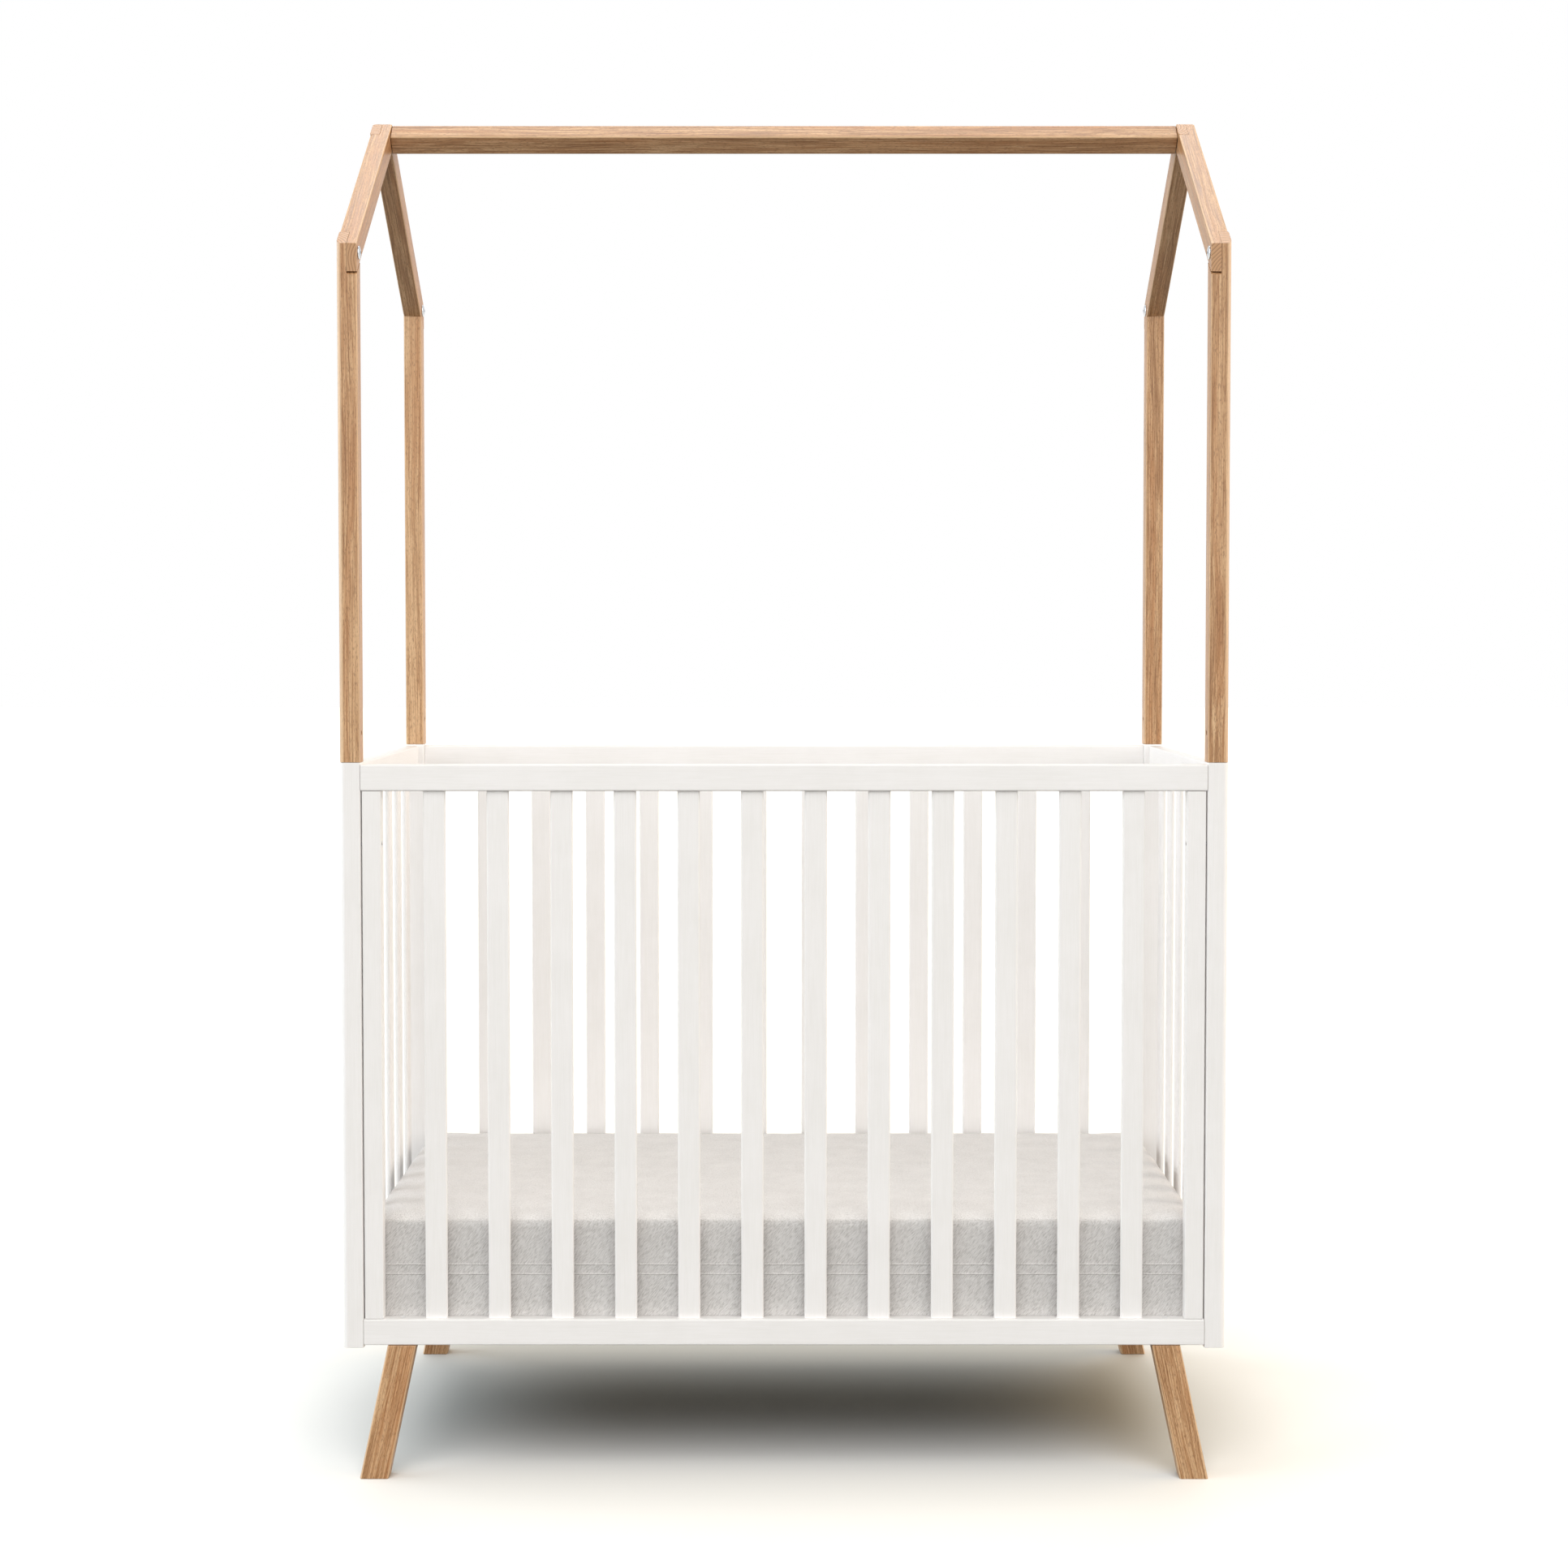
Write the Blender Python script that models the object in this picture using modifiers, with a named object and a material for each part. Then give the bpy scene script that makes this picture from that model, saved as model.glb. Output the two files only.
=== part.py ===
# House-frame baby crib: white slatted cot on splayed beech legs, under an open beech roof frame.
# Origin under the middle of the crib, on the floor. +X runs along the crib, -Y is the front, +Z is up.
import math

import bmesh
import bpy
from mathutils import Matrix, Vector

# ---------------------------------------------------------------- driving dimensions (metres)
FIT_GAP = 0.0003              # clearance left wherever two pieces touch

CRIB_LENGTH = 1.264           # outside faces of the corner posts, along X
CRIB_DEPTH = 0.648            # outside faces of the corner posts, along Y
POST_SIDE = 0.0295            # square stock of the corner posts and the canopy posts
POST_OUTER_RADIUS = 0.0075    # the one well-rounded arris of each post, at the crib's outer corner
STOCK_ARRIS = 0.0025          # light rounding on every other long arris
END_ARRIS = 0.0020            # rounding round the ends of the posts and of the ridge beam
RAIL_ARRIS = 0.0030           # long edges of the rails

CORNER_POST_FOOT = 0.1905     # underside of the white corner posts above the floor
CORNER_POST_TOP = 1.0305      # top of the white corner posts above the floor
RAIL_FOOT_INSET = 0.0035      # bottom rails end this far above the underside of the posts
RAIL_TOP_INSET = 0.0025       # top rails end this far below the top of the posts
RAIL_HEIGHT = 0.038
RAIL_THICKNESS = 0.021

SLAT_WIDTH = 0.032
SLAT_THICKNESS = 0.008
SLAT_ARRIS = 0.0038           # just under half the thickness, so the edges are round right through
SLAT_TENON = 0.012            # how far a slat runs into each rail
FRONT_SLATS = 12
END_SLATS = 6
STILE_WIDTH = 0.0275
STILE_SETBACK = 0.001         # each face of a stile behind the face of its rails
STILE_TO_POST = 0.0015        # open joint between a stile and its post

LEG_WIDTH = 0.040             # square to the leg's own axis
LEG_DEPTH = 0.0295
LEG_SPLAY = math.radians(12.0)
LEG_INSET = 0.084             # middle of a leg's top, in from the end of the crib

EAVE_HEIGHT = 1.764           # front arris of the roof, above the floor
ROOF_ANGLE = math.radians(35.75)
RAFTER_DEPTH = 0.035          # square to the roof slope
RAFTER_TIP_TRIM = 0.0035      # height taken off the sharp tip of each rafter's tongue
RAFTER_OUTER_RADIUS = 0.0045  # upper arris on the outside of the roof
RIDGE_BEAM_SIDE = 0.032
RIDGE_BEAM_ARRIS = 0.003
RIDGE_BEAM_LOW = 0.0024       # beam axis below the middle of the laps at the peak

MATTRESS_HEIGHT = 0.1365
MATTRESS_CLEARANCE = 0.0045   # round the sides
MATTRESS_CORNER = 0.030       # corner radius in plan
MATTRESS_EDGE = 0.018         # rounding along the top and bottom edges
MATTRESS_ABOVE_RAIL = 0.003   # underside above the top of the bottom rails
BASE_THICKNESS = 0.020        # side bars and the slats across them
BASE_BAR_THICKNESS = 0.013
BASE_HOUSING = 0.001          # how far the slats are let into the bars
BASE_CLEARANCE = 0.0015       # round the slatted base
BASE_BAR_WIDTH = 0.045
BASE_SLATS = 13
BASE_SLAT_WIDTH = 0.050
LEDGER_HEIGHT = 0.0195        # battens that carry the slatted base
LEDGER_WIDTH = 0.020

BOLT_RADIUS = 0.003           # M6 throughout
BOLT_HOLE_RADIUS = 0.0033
ROOF_HEAD_RADIUS = 0.0100     # broad domed heads of the roof bolts
ROOF_HEAD_HEIGHT = 0.0034
ROOF_RECESS_RADIUS = 0.0103
ROOF_RECESS_DEPTH = 0.0045
NUT_RADIUS = 0.0058           # to the corners of the hexagon
NUT_HEIGHT = 0.0038
NUT_FLANGE_RADIUS = 0.0085
NUT_FLANGE_HEIGHT = 0.0012
RIDGE_BOLT_GRIP = 0.045       # how far a ridge bolt runs into the beam
SOCKET_HEAD_RADIUS = 0.0043   # narrow heads of the leg bolts and the stile bolts
SOCKET_RECESS_RADIUS = 0.0046
LEG_HEAD_HEIGHT = 0.0060
LEG_RECESS_DEPTH = 0.0100
LEG_RECESS_EDGE = 0.0004      # flat left between a leg bolt's recess and the arris behind it
LEG_BOLT_GRIP = 0.052         # from under the head
SOCKET_RADIUS = 0.0023        # to the corners of the hexagon
STILE_BOLT_HEIGHT = 0.914
STILE_HEAD_HEIGHT = 0.0030
STILE_RECESS_DEPTH = 0.0034
STILE_BOLT_GRIP = 0.020       # how far a stile bolt runs into the post
BARREL_RADIUS = 0.0033        # cross nut that draws a canopy post down on its corner post
BARREL_FIT = 0.0002
BARREL_LENGTH = 0.0180
BARREL_ABOVE_JOINT = 0.0420
ROD_RADIUS = 0.0019           # threaded rod from the corner post up through the cross nut
ROD_HOLE_RADIUS = 0.0022
ROD_BELOW_JOINT = 0.038
ROD_ABOVE_BARREL = 0.007
HOLE_END_ROOM = 0.002         # a blind hole runs this far past what is in it
OVERRUN = 0.010               # a cutter runs this far out of the stock
HOLE_SIDES = 12

# ---------------------------------------------------------------- derived places
half_length = CRIB_LENGTH / 2
half_depth = CRIB_DEPTH / 2
post_x = half_length - POST_SIDE / 2
post_y = half_depth - POST_SIDE / 2
bottom_rail_z = CORNER_POST_FOOT + RAIL_FOOT_INSET
bottom_rail_top = bottom_rail_z + RAIL_HEIGHT
top_rail_top = CORNER_POST_TOP - RAIL_TOP_INSET
top_rail_z = top_rail_top - RAIL_HEIGHT
slat_foot = bottom_rail_top - SLAT_TENON
slat_head = top_rail_z + SLAT_TENON

roof_tangent = math.tan(ROOF_ANGLE)
rafter_plumb = RAFTER_DEPTH / math.cos(ROOF_ANGLE)      # depth of a rafter measured plumb
ridge_height = EAVE_HEIGHT + half_depth * roof_tangent
lap_x = post_x                                          # middle plane of the half laps
ridge_axis_z = ridge_height - rafter_plumb / 2 - RIDGE_BEAM_LOW
eave_bolt_z = ridge_height - post_y * roof_tangent - rafter_plumb / 2
post_inner_x = half_length - POST_SIDE
rail_y = half_depth - RAIL_THICKNESS / 2
end_rail_x = half_length - RAIL_THICKNESS / 2
stile_inner_x = post_inner_x - STILE_TO_POST - STILE_WIDTH
stile_thickness = RAIL_THICKNESS - 2 * STILE_SETBACK
leg_bolt_y = half_depth - RAIL_THICKNESS + RAIL_ARRIS + LEG_RECESS_EDGE + SOCKET_RECESS_RADIUS
leg_bolt_x = half_length - LEG_INSET
mattress_z = bottom_rail_top + MATTRESS_ABOVE_RAIL
base_top = mattress_z - FIT_GAP
barrel_z = CORNER_POST_TOP + BARREL_ABOVE_JOINT

corners = {"front_left": (-1, -1), "front_right": (1, -1), "rear_left": (-1, 1), "rear_right": (1, 1)}
across_x = (math.pi / 2, 0, math.pi / 2)                # turns an outline to the YZ plane


# ---------------------------------------------------------------- scene and materials
def clear_scene():
    for item in list(bpy.data.objects):
        bpy.data.objects.remove(item, do_unlink=True)


def add_collection(name):
    collection = bpy.data.collections.new(name)
    bpy.context.scene.collection.children.link(collection)
    return collection


def finish(name, colour, roughness, metallic=0.0):
    material = bpy.data.materials.new(name)
    material.use_nodes = True
    shader = material.node_tree.nodes["Principled BSDF"]
    shader.inputs["Base Color"].default_value = (*colour, 1.0)
    shader.inputs["Roughness"].default_value = roughness
    shader.inputs["Metallic"].default_value = metallic
    material.diffuse_color = (*colour, 1.0)
    return material


clear_scene()
crib = add_collection("baby_crib")
cutters = add_collection("cutters")
white_lacquer = finish("white_lacquer", (0.83, 0.81, 0.78), 0.38)
oiled_beech = finish("oiled_beech", (0.60, 0.36, 0.18), 0.50)
plain_spruce = finish("plain_spruce", (0.68, 0.50, 0.31), 0.65)
knit_cover = finish("knit_cover", (0.58, 0.57, 0.55), 0.90)
chrome = finish("chrome_plate", (0.78, 0.78, 0.80), 0.12, 1.0)
zinc = finish("zinc_plate", (0.42, 0.42, 0.43), 0.40, 1.0)


# ---------------------------------------------------------------- shapes
def add_piece(name, mesh, material):
    piece = bpy.data.objects.new(name, mesh)
    mesh.materials.append(material)
    mesh.shade_smooth()
    mesh.set_sharp_from_angle(angle=math.radians(50))
    crib.objects.link(piece)
    return piece


def add_cutter(mesh):
    cutter = bpy.data.objects.new(f"cutter_{len(cutters.objects):03d}", mesh)
    cutter.hide_render = True
    cutter.display_type = "WIRE"
    cutters.objects.link(cutter)
    return cutter


def rounded_outline(width, height, radii, steps=2):
    """Rectangle about the origin; radii for the corners (-x,-y), (+x,-y), (+x,+y), (-x,+y)."""
    points = []
    signs = ((-1, -1), (1, -1), (1, 1), (-1, 1))
    for index, ((sx, sy), radius) in enumerate(zip(signs, radii)):
        centre = Vector((sx * (width / 2 - radius), sy * (height / 2 - radius)))
        start = math.pi + index * math.pi / 2
        corner_steps = steps if radius <= 0.005 else 2 * steps
        for step in range(corner_steps + 1):
            angle = start + step * math.pi / 2 / corner_steps
            points.append(centre + radius * Vector((math.cos(angle), math.sin(angle))))
    return points


def prism(outline, thickness):
    """Mesh of a flat outline, its thickness centred on local Z."""
    curve = bpy.data.curves.new("outline", "CURVE")
    curve.dimensions = "2D"
    curve.fill_mode = "BOTH"
    curve.extrude = thickness / 2
    spline = curve.splines.new("POLY")
    spline.points.add(len(outline) - 1)
    for point, place in zip(spline.points, outline):
        point.co = (place[0], place[1], 0.0, 1.0)
    spline.use_cyclic_u = True
    holder = bpy.data.objects.new("outline", curve)
    bpy.context.scene.collection.objects.link(holder)
    evaluated = holder.evaluated_get(bpy.context.evaluated_depsgraph_get())
    mesh = bpy.data.meshes.new_from_object(evaluated)
    bpy.data.objects.remove(holder, do_unlink=True)
    bpy.data.curves.remove(curve)
    shape = bmesh.new()
    shape.from_mesh(mesh)
    bmesh.ops.remove_doubles(shape, verts=shape.verts, dist=0.00001)
    bmesh.ops.recalc_face_normals(shape, faces=shape.faces)
    shape.to_mesh(mesh)
    shape.free()
    return mesh


def cylinder(radius, length, sides=16):
    """Mesh of a cylinder along local Z, centred on the origin."""
    shape = bmesh.new()
    bmesh.ops.create_cone(
        shape, cap_ends=True, segments=sides, radius1=radius, radius2=radius, depth=length
    )
    mesh = bpy.data.meshes.new("cylinder")
    shape.to_mesh(mesh)
    shape.free()
    return mesh


def box(size):
    """Mesh of a box about the origin."""
    shape = bmesh.new()
    bmesh.ops.create_cube(shape, size=1.0, matrix=Matrix.Diagonal((*size, 1.0)))
    mesh = bpy.data.meshes.new("box")
    shape.to_mesh(mesh)
    shape.free()
    return mesh


def turned(piece, steps=16):
    """Turns an open profile in the XZ plane about local Z."""
    lathe = piece.modifiers.new("turned", "SCREW")
    lathe.axis = "Z"
    lathe.steps = steps
    lathe.render_steps = steps
    lathe.use_merge_vertices = True
    lathe.merge_threshold = 0.00001


def profile(points):
    """Mesh of an open line of (radius, height) points, in the order they run down the outside."""
    mesh = bpy.data.meshes.new("profile")
    edges = [(index, index + 1) for index in range(len(points) - 1)]
    mesh.from_pydata([(radius, 0, height) for radius, height in points], edges, [])
    return mesh


def round_ends(piece, radius=END_ARRIS, segments=2):
    """Rounds the square edges of a bar, which are those round its two ends."""
    bevel = piece.modifiers.new("end_arris", "BEVEL")
    bevel.width = radius
    bevel.segments = segments
    bevel.limit_method = "ANGLE"
    bevel.angle_limit = math.radians(60)


def combine(piece, other, operation):
    step = piece.modifiers.new(operation.lower(), "BOOLEAN")
    step.operation = operation
    step.object = other
    step.solver = "EXACT"


def cut(piece, mesh, location, rotation=(0, 0, 0)):
    cutter = add_cutter(mesh)
    cutter.location = location
    cutter.rotation_euler = rotation
    combine(piece, cutter, "DIFFERENCE")


def join(piece, mesh, location, rotation=(0, 0, 0)):
    partner = add_cutter(mesh)
    partner.location = location
    partner.rotation_euler = rotation
    combine(piece, partner, "UNION")


def cut_across(piece, outline, x_low, x_high):
    """Cuts an outline given in the YZ plane, between two places along X."""
    cut(piece, prism(outline, x_high - x_low), ((x_low + x_high) / 2, 0, 0), across_x)


def bore_along_x(piece, radius, x_low, x_high, y, z):
    place = ((x_low + x_high) / 2, y, z)
    cut(piece, cylinder(radius, x_high - x_low, HOLE_SIDES), place, facing(1))


def bore_along_z(piece, radius, z_low, z_high, x, y):
    cut(piece, cylinder(radius, z_high - z_low, HOLE_SIDES), (x, y, (z_low + z_high) / 2))


def counterbore(piece, recess_radius, mouth, seat, hole_end, place, rotation):
    """Bolt hole with a wider recess for the head; mouth, seat and hole_end are along local Z."""
    steps = [(0, mouth), (recess_radius, mouth), (recess_radius, seat)]
    steps += [(BOLT_HOLE_RADIUS, seat), (BOLT_HOLE_RADIUS, hole_end), (0, hole_end)]
    cutter = add_cutter(profile(steps))
    cutter.location = place
    cutter.rotation_euler = rotation
    turned(cutter)
    combine(piece, cutter, "DIFFERENCE")


def facing(side):
    """Turns local Z towards +X or -X."""
    return (0, side * math.pi / 2, 0)


def span(sign, inner, outer):
    """Low and high place of a stretch given as distances out from the middle on one side."""
    return (inner, outer) if sign > 0 else (-outer, -inner)


# ---------------------------------------------------------------- posts
def post_outline(side, end):
    """Section of a post, with the large radius at the crib's outer corner."""
    signs = ((-1, -1), (1, -1), (1, 1), (-1, 1))
    radii = [POST_OUTER_RADIUS if sign == (side, end) else STOCK_ARRIS for sign in signs]
    return rounded_outline(POST_SIDE, POST_SIDE, radii)


def corner_post(name, side, end):
    length = CORNER_POST_TOP - CORNER_POST_FOOT
    post = add_piece(name, prism(post_outline(side, end), length), white_lacquer)
    post.location = (side * post_x, end * post_y, CORNER_POST_FOOT + length / 2)
    round_ends(post)
    bolt_hole = span(side, post_inner_x - OVERRUN, post_inner_x + STILE_BOLT_GRIP + HOLE_END_ROOM)
    bore_along_x(post, BOLT_HOLE_RADIUS, *bolt_hole, end * rail_y, STILE_BOLT_HEIGHT)
    rod_foot = CORNER_POST_TOP - ROD_BELOW_JOINT - HOLE_END_ROOM
    bore_along_z(post, ROD_HOLE_RADIUS, rod_foot, CORNER_POST_TOP + OVERRUN, *post.location.xy)


def roof_line(distance, drop=0.0):
    """Height of the roof slope, less a plumb drop, at a distance from the ridge along Y."""
    return ridge_height - distance * roof_tangent - drop


def canopy_post(name, side, end):
    foot = CORNER_POST_TOP + FIT_GAP
    length = EAVE_HEIGHT + POST_SIDE - foot
    post = add_piece(name, prism(post_outline(side, end), length), oiled_beech)
    post.location = (side * post_x, end * post_y, foot + length / 2)
    round_ends(post)

    # the top follows the roof slope
    near, far = half_depth - POST_SIDE - OVERRUN, half_depth + OVERRUN
    slope = [(end * near, roof_line(near)), (end * far, roof_line(far))]
    above = [(end * far, ridge_height), (end * near, ridge_height)]
    cut_across(post, slope + above, *span(side, post_inner_x - OVERRUN, half_length + OVERRUN))

    # the inner half is notched for the rafter's tongue, parallel to the rafter's underside
    drop = rafter_plumb + FIT_GAP / math.cos(ROOF_ANGLE)
    notch = [(end * near, roof_line(near, drop)), (end * far, roof_line(far, drop))]
    cut_across(post, notch + above, *span(side, post_inner_x - OVERRUN, lap_x + FIT_GAP / 2))

    # bolt through the lap, its nut sunk in the outside face
    mouth, seat, hole_end = half_length + OVERRUN, half_length - ROOF_RECESS_DEPTH, lap_x - OVERRUN
    place = (0, end * post_y, eave_bolt_z)
    counterbore(post, ROOF_RECESS_RADIUS, mouth, seat, hole_end, place, facing(side))

    # cross nut from the inner face, and the rod that comes up through it
    barrel_end = post_x + BARREL_LENGTH / 2 + FIT_GAP
    barrel_hole = span(side, post_inner_x - OVERRUN, barrel_end)
    bore_along_x(post, BARREL_RADIUS + BARREL_FIT, *barrel_hole, end * post_y, barrel_z)
    rod_end = barrel_z + ROD_ABOVE_BARREL + HOLE_END_ROOM
    bore_along_z(post, ROD_HOLE_RADIUS, foot - OVERRUN, rod_end, *post.location.xy)


# ---------------------------------------------------------------- roof
def rafter(name, side, end, tongue):
    """Rafter cut from straight stock. tongue says which half runs past the peak: inner or outer."""
    slope_length = half_depth / math.cos(ROOF_ANGLE)
    start, stop = -RAFTER_DEPTH, slope_length + 2 * RAFTER_DEPTH
    outer_corner = side * -end
    radii = [RAFTER_OUTER_RADIUS if sign == outer_corner else STOCK_ARRIS for sign in (-1, 1)]
    outline = rounded_outline(POST_SIDE, RAFTER_DEPTH, radii + [STOCK_ARRIS, STOCK_ARRIS])
    bar = add_piece(name, prism(outline, stop - start), oiled_beech)
    uphill = Vector((0, -end * math.cos(ROOF_ANGLE), math.sin(ROOF_ANGLE)))
    inward = Vector((0, -end * math.sin(ROOF_ANGLE), -math.cos(ROOF_ANGLE)))
    eave = Vector((side * post_x, end * half_depth, EAVE_HEIGHT))
    bar.location = eave + uphill * (start + stop) / 2 + inward * RAFTER_DEPTH / 2
    bar.rotation_euler = (ROOF_ANGLE - math.pi / 2, 0, 0 if end < 0 else math.pi)

    inside, outside = post_inner_x - OVERRUN, half_length + OVERRUN
    full_width = span(side, inside, outside)
    outer_half = span(side, lap_x - FIT_GAP / 2, outside)
    inner_half = span(side, inside, lap_x + FIT_GAP / 2)
    low, high = EAVE_HEIGHT - 2 * rafter_plumb, ridge_height + half_depth

    # foot: plumb with the outside face of the post, the sharp tip taken off level
    tip = EAVE_HEIGHT - rafter_plumb + RAFTER_TIP_TRIM
    back, front = half_depth - POST_SIDE, half_depth + 2 * RAFTER_DEPTH
    foot = [(half_depth, high), (front, high), (front, low), (back, low), (back, tip), (half_depth, tip)]
    cut_across(bar, [(end * y, z) for y, z in foot], *full_width)

    # foot: the outer half stops at the post's own tongue
    seat = half_depth - POST_SIDE - FIT_GAP
    lap = [(end * seat, low), (end * front, low), (end * front, high), (end * seat, high)]
    cut_across(bar, lap, *outer_half)

    # peak: flush with the other roof slope, then halved over the other rafter
    reach = half_depth / 2
    above = [(-end * reach, high), (end * reach, high)]
    flush = [(end * reach, roof_line(-reach)), (-end * reach, roof_line(reach))]
    cut_across(bar, flush + above, *full_width)
    drop = rafter_plumb + FIT_GAP / math.cos(ROOF_ANGLE)
    halving = [(end * reach, roof_line(-reach, drop)), (-end * reach, roof_line(reach, drop))]
    cut_across(bar, halving + above, *(outer_half if tongue == "inner" else inner_half))

    # bolt holes through both laps, the one at the peak recessed for its head
    bore_along_x(bar, BOLT_HOLE_RADIUS, *full_width, end * post_y, eave_bolt_z)
    if tongue == "inner":
        bore_along_x(bar, BOLT_HOLE_RADIUS, *full_width, 0, ridge_axis_z)
    else:
        seat, place = half_length - ROOF_RECESS_DEPTH, (0, 0, ridge_axis_z)
        counterbore(bar, ROOF_RECESS_RADIUS, outside, seat, inside, place, facing(side))


def ridge_beam():
    """Square beam stood on its corner between the two pairs of rafters."""
    length = 2 * (post_inner_x - FIT_GAP)
    outline = rounded_outline(RIDGE_BEAM_SIDE, RIDGE_BEAM_SIDE, [RIDGE_BEAM_ARRIS] * 4)
    beam = add_piece("ridge_beam", prism(outline, length), oiled_beech)
    beam.location = (0, 0, ridge_axis_z)
    on_corner = Matrix.Rotation(math.pi / 4, 4, "X") @ Matrix.Rotation(math.pi / 2, 4, "Y")
    beam.rotation_euler = on_corner.to_euler()
    round_ends(beam)
    for side in (-1, 1):
        hole_end = post_inner_x - RIDGE_BOLT_GRIP - HOLE_END_ROOM
        bore_along_x(beam, BOLT_HOLE_RADIUS, *span(side, hole_end, half_length), 0, ridge_axis_z)


# ---------------------------------------------------------------- sides and ends
def even_pitch(clear, count, width):
    """Distance between the middles of bars that leave equal gaps all along a clear width."""
    return width + (clear - count * width) / (count + 1)


def slat_row(height, foot, count, pitch, place, turn, play=0.0):
    """Cutter holding a row of upright slats, with some play all round them."""
    width, thickness = SLAT_WIDTH + 2 * play, SLAT_THICKNESS + 2 * play
    outline = rounded_outline(width, thickness, [SLAT_ARRIS + play] * 4)
    row = add_cutter(prism(outline, height))
    first = Vector((-(count - 1) * pitch / 2, 0, 0))
    row.location = Vector((*place, foot + height / 2)) + Matrix.Rotation(turn, 3, "Z") @ first
    row.rotation_euler = (0, 0, turn)
    copies = row.modifiers.new("row", "ARRAY")
    copies.count = count
    copies.use_relative_offset = False
    copies.use_constant_offset = True
    copies.constant_offset_displace = (pitch, 0, 0)
    return row


def rail(name, length, place, z, turn):
    """Rail along X, or along Y when turned a quarter."""
    outline = rounded_outline(RAIL_THICKNESS, RAIL_HEIGHT, [RAIL_ARRIS] * 4)
    bar = add_piece(name, prism(outline, length), white_lacquer)
    bar.location = (*place, z + RAIL_HEIGHT / 2)
    stand = Matrix.Rotation(turn, 4, "Z") @ Matrix.Rotation(math.pi / 2, 4, "Z")
    bar.rotation_euler = (stand @ Matrix.Rotation(math.pi / 2, 4, "X")).to_euler()
    return bar


def slat_panel(name, length, place, turn, count, clear):
    """Bottom rail with its slats, and the top rail mortised to take their upper ends."""
    pitch = even_pitch(clear, count, SLAT_WIDTH)
    side = name.split("_")[0]
    panel = rail(name, length, place, bottom_rail_z, turn)
    slats = slat_row(slat_head - slat_foot, slat_foot, count, pitch, place, turn)
    combine(panel, slats, "UNION")
    top_rail = rail(f"{side}_top_rail", length, place, top_rail_z, turn)
    mortise_foot = top_rail_z - OVERRUN
    depth = slat_head + FIT_GAP - mortise_foot
    mortises = slat_row(depth, mortise_foot, count, pitch, place, turn, play=FIT_GAP)
    combine(top_rail, mortises, "DIFFERENCE")
    return panel


def long_panel(name, end):
    length = 2 * (post_inner_x - FIT_GAP)
    panel = slat_panel(name, length, (0, end * rail_y), 0, FRONT_SLATS, 2 * stile_inner_x)
    mouth, seat = bottom_rail_top + OVERRUN, bottom_rail_top - LEG_RECESS_DEPTH
    for side in (-1, 1):
        place = (side * leg_bolt_x, end * leg_bolt_y, 0)
        counterbore(panel, SOCKET_RECESS_RADIUS, mouth, seat, bottom_rail_z - OVERRUN, place, (0, 0, 0))


def end_panel(name, side):
    length = CRIB_DEPTH - 2 * POST_SIDE - 2 * FIT_GAP
    clear = CRIB_DEPTH - 2 * POST_SIDE
    slat_panel(name, length, (side * end_rail_x, 0), math.pi / 2, END_SLATS, clear)


def stile(name, side, end):
    foot, head = bottom_rail_top + FIT_GAP, top_rail_z - FIT_GAP
    outline = rounded_outline(STILE_WIDTH, stile_thickness, [STOCK_ARRIS] * 4)
    bar = add_piece(name, prism(outline, head - foot), white_lacquer)
    bar.location = (side * (stile_inner_x + STILE_WIDTH / 2), end * rail_y, (foot + head) / 2)
    mouth, seat = OVERRUN - stile_inner_x, -stile_inner_x - STILE_RECESS_DEPTH
    place = (0, end * rail_y, STILE_BOLT_HEIGHT)
    counterbore(bar, SOCKET_RECESS_RADIUS, mouth, seat, -post_inner_x, place, facing(-side))


# ---------------------------------------------------------------- legs and bed base
def leg(name, side, end):
    """Leg leaning out along X, cut level at the floor and under the bottom rail."""
    head = bottom_rail_z - FIT_GAP
    length = head / math.cos(LEG_SPLAY) + 2 * LEG_WIDTH
    outline = rounded_outline(LEG_WIDTH, LEG_DEPTH, [STOCK_ARRIS] * 4)
    bar = add_piece(name, prism(outline, length), oiled_beech)
    lean = side * math.tan(LEG_SPLAY)
    bar.location = (side * leg_bolt_x + lean * head / 2, end * (half_depth - LEG_DEPTH / 2), head / 2)
    bar.rotation_euler = (0, -side * LEG_SPLAY, 0)
    trim = (4 * LEG_WIDTH, 2 * LEG_DEPTH, 2 * LEG_WIDTH)
    cut(bar, box(trim), (side * leg_bolt_x, bar.location.y, head + LEG_WIDTH))
    cut(bar, box(trim), (side * leg_bolt_x + lean * head, bar.location.y, -LEG_WIDTH))
    seat = bottom_rail_top - LEG_RECESS_DEPTH
    hole_end = seat - LEG_BOLT_GRIP - HOLE_END_ROOM
    bore_along_z(bar, BOLT_HOLE_RADIUS, hole_end, seat, side * leg_bolt_x, end * leg_bolt_y)


def ledger(name, end):
    length = 2 * (post_inner_x - BASE_CLEARANCE)
    outline = rounded_outline(LEDGER_WIDTH, LEDGER_HEIGHT, [0.001] * 4, steps=1)
    batten = add_piece(name, prism(outline, length), plain_spruce)
    top = base_top - BASE_THICKNESS - FIT_GAP
    inner_face = half_depth - RAIL_THICKNESS - FIT_GAP
    batten.location = (0, end * (inner_face - LEDGER_WIDTH / 2), top - LEDGER_HEIGHT / 2)
    batten.rotation_euler = across_x


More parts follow.
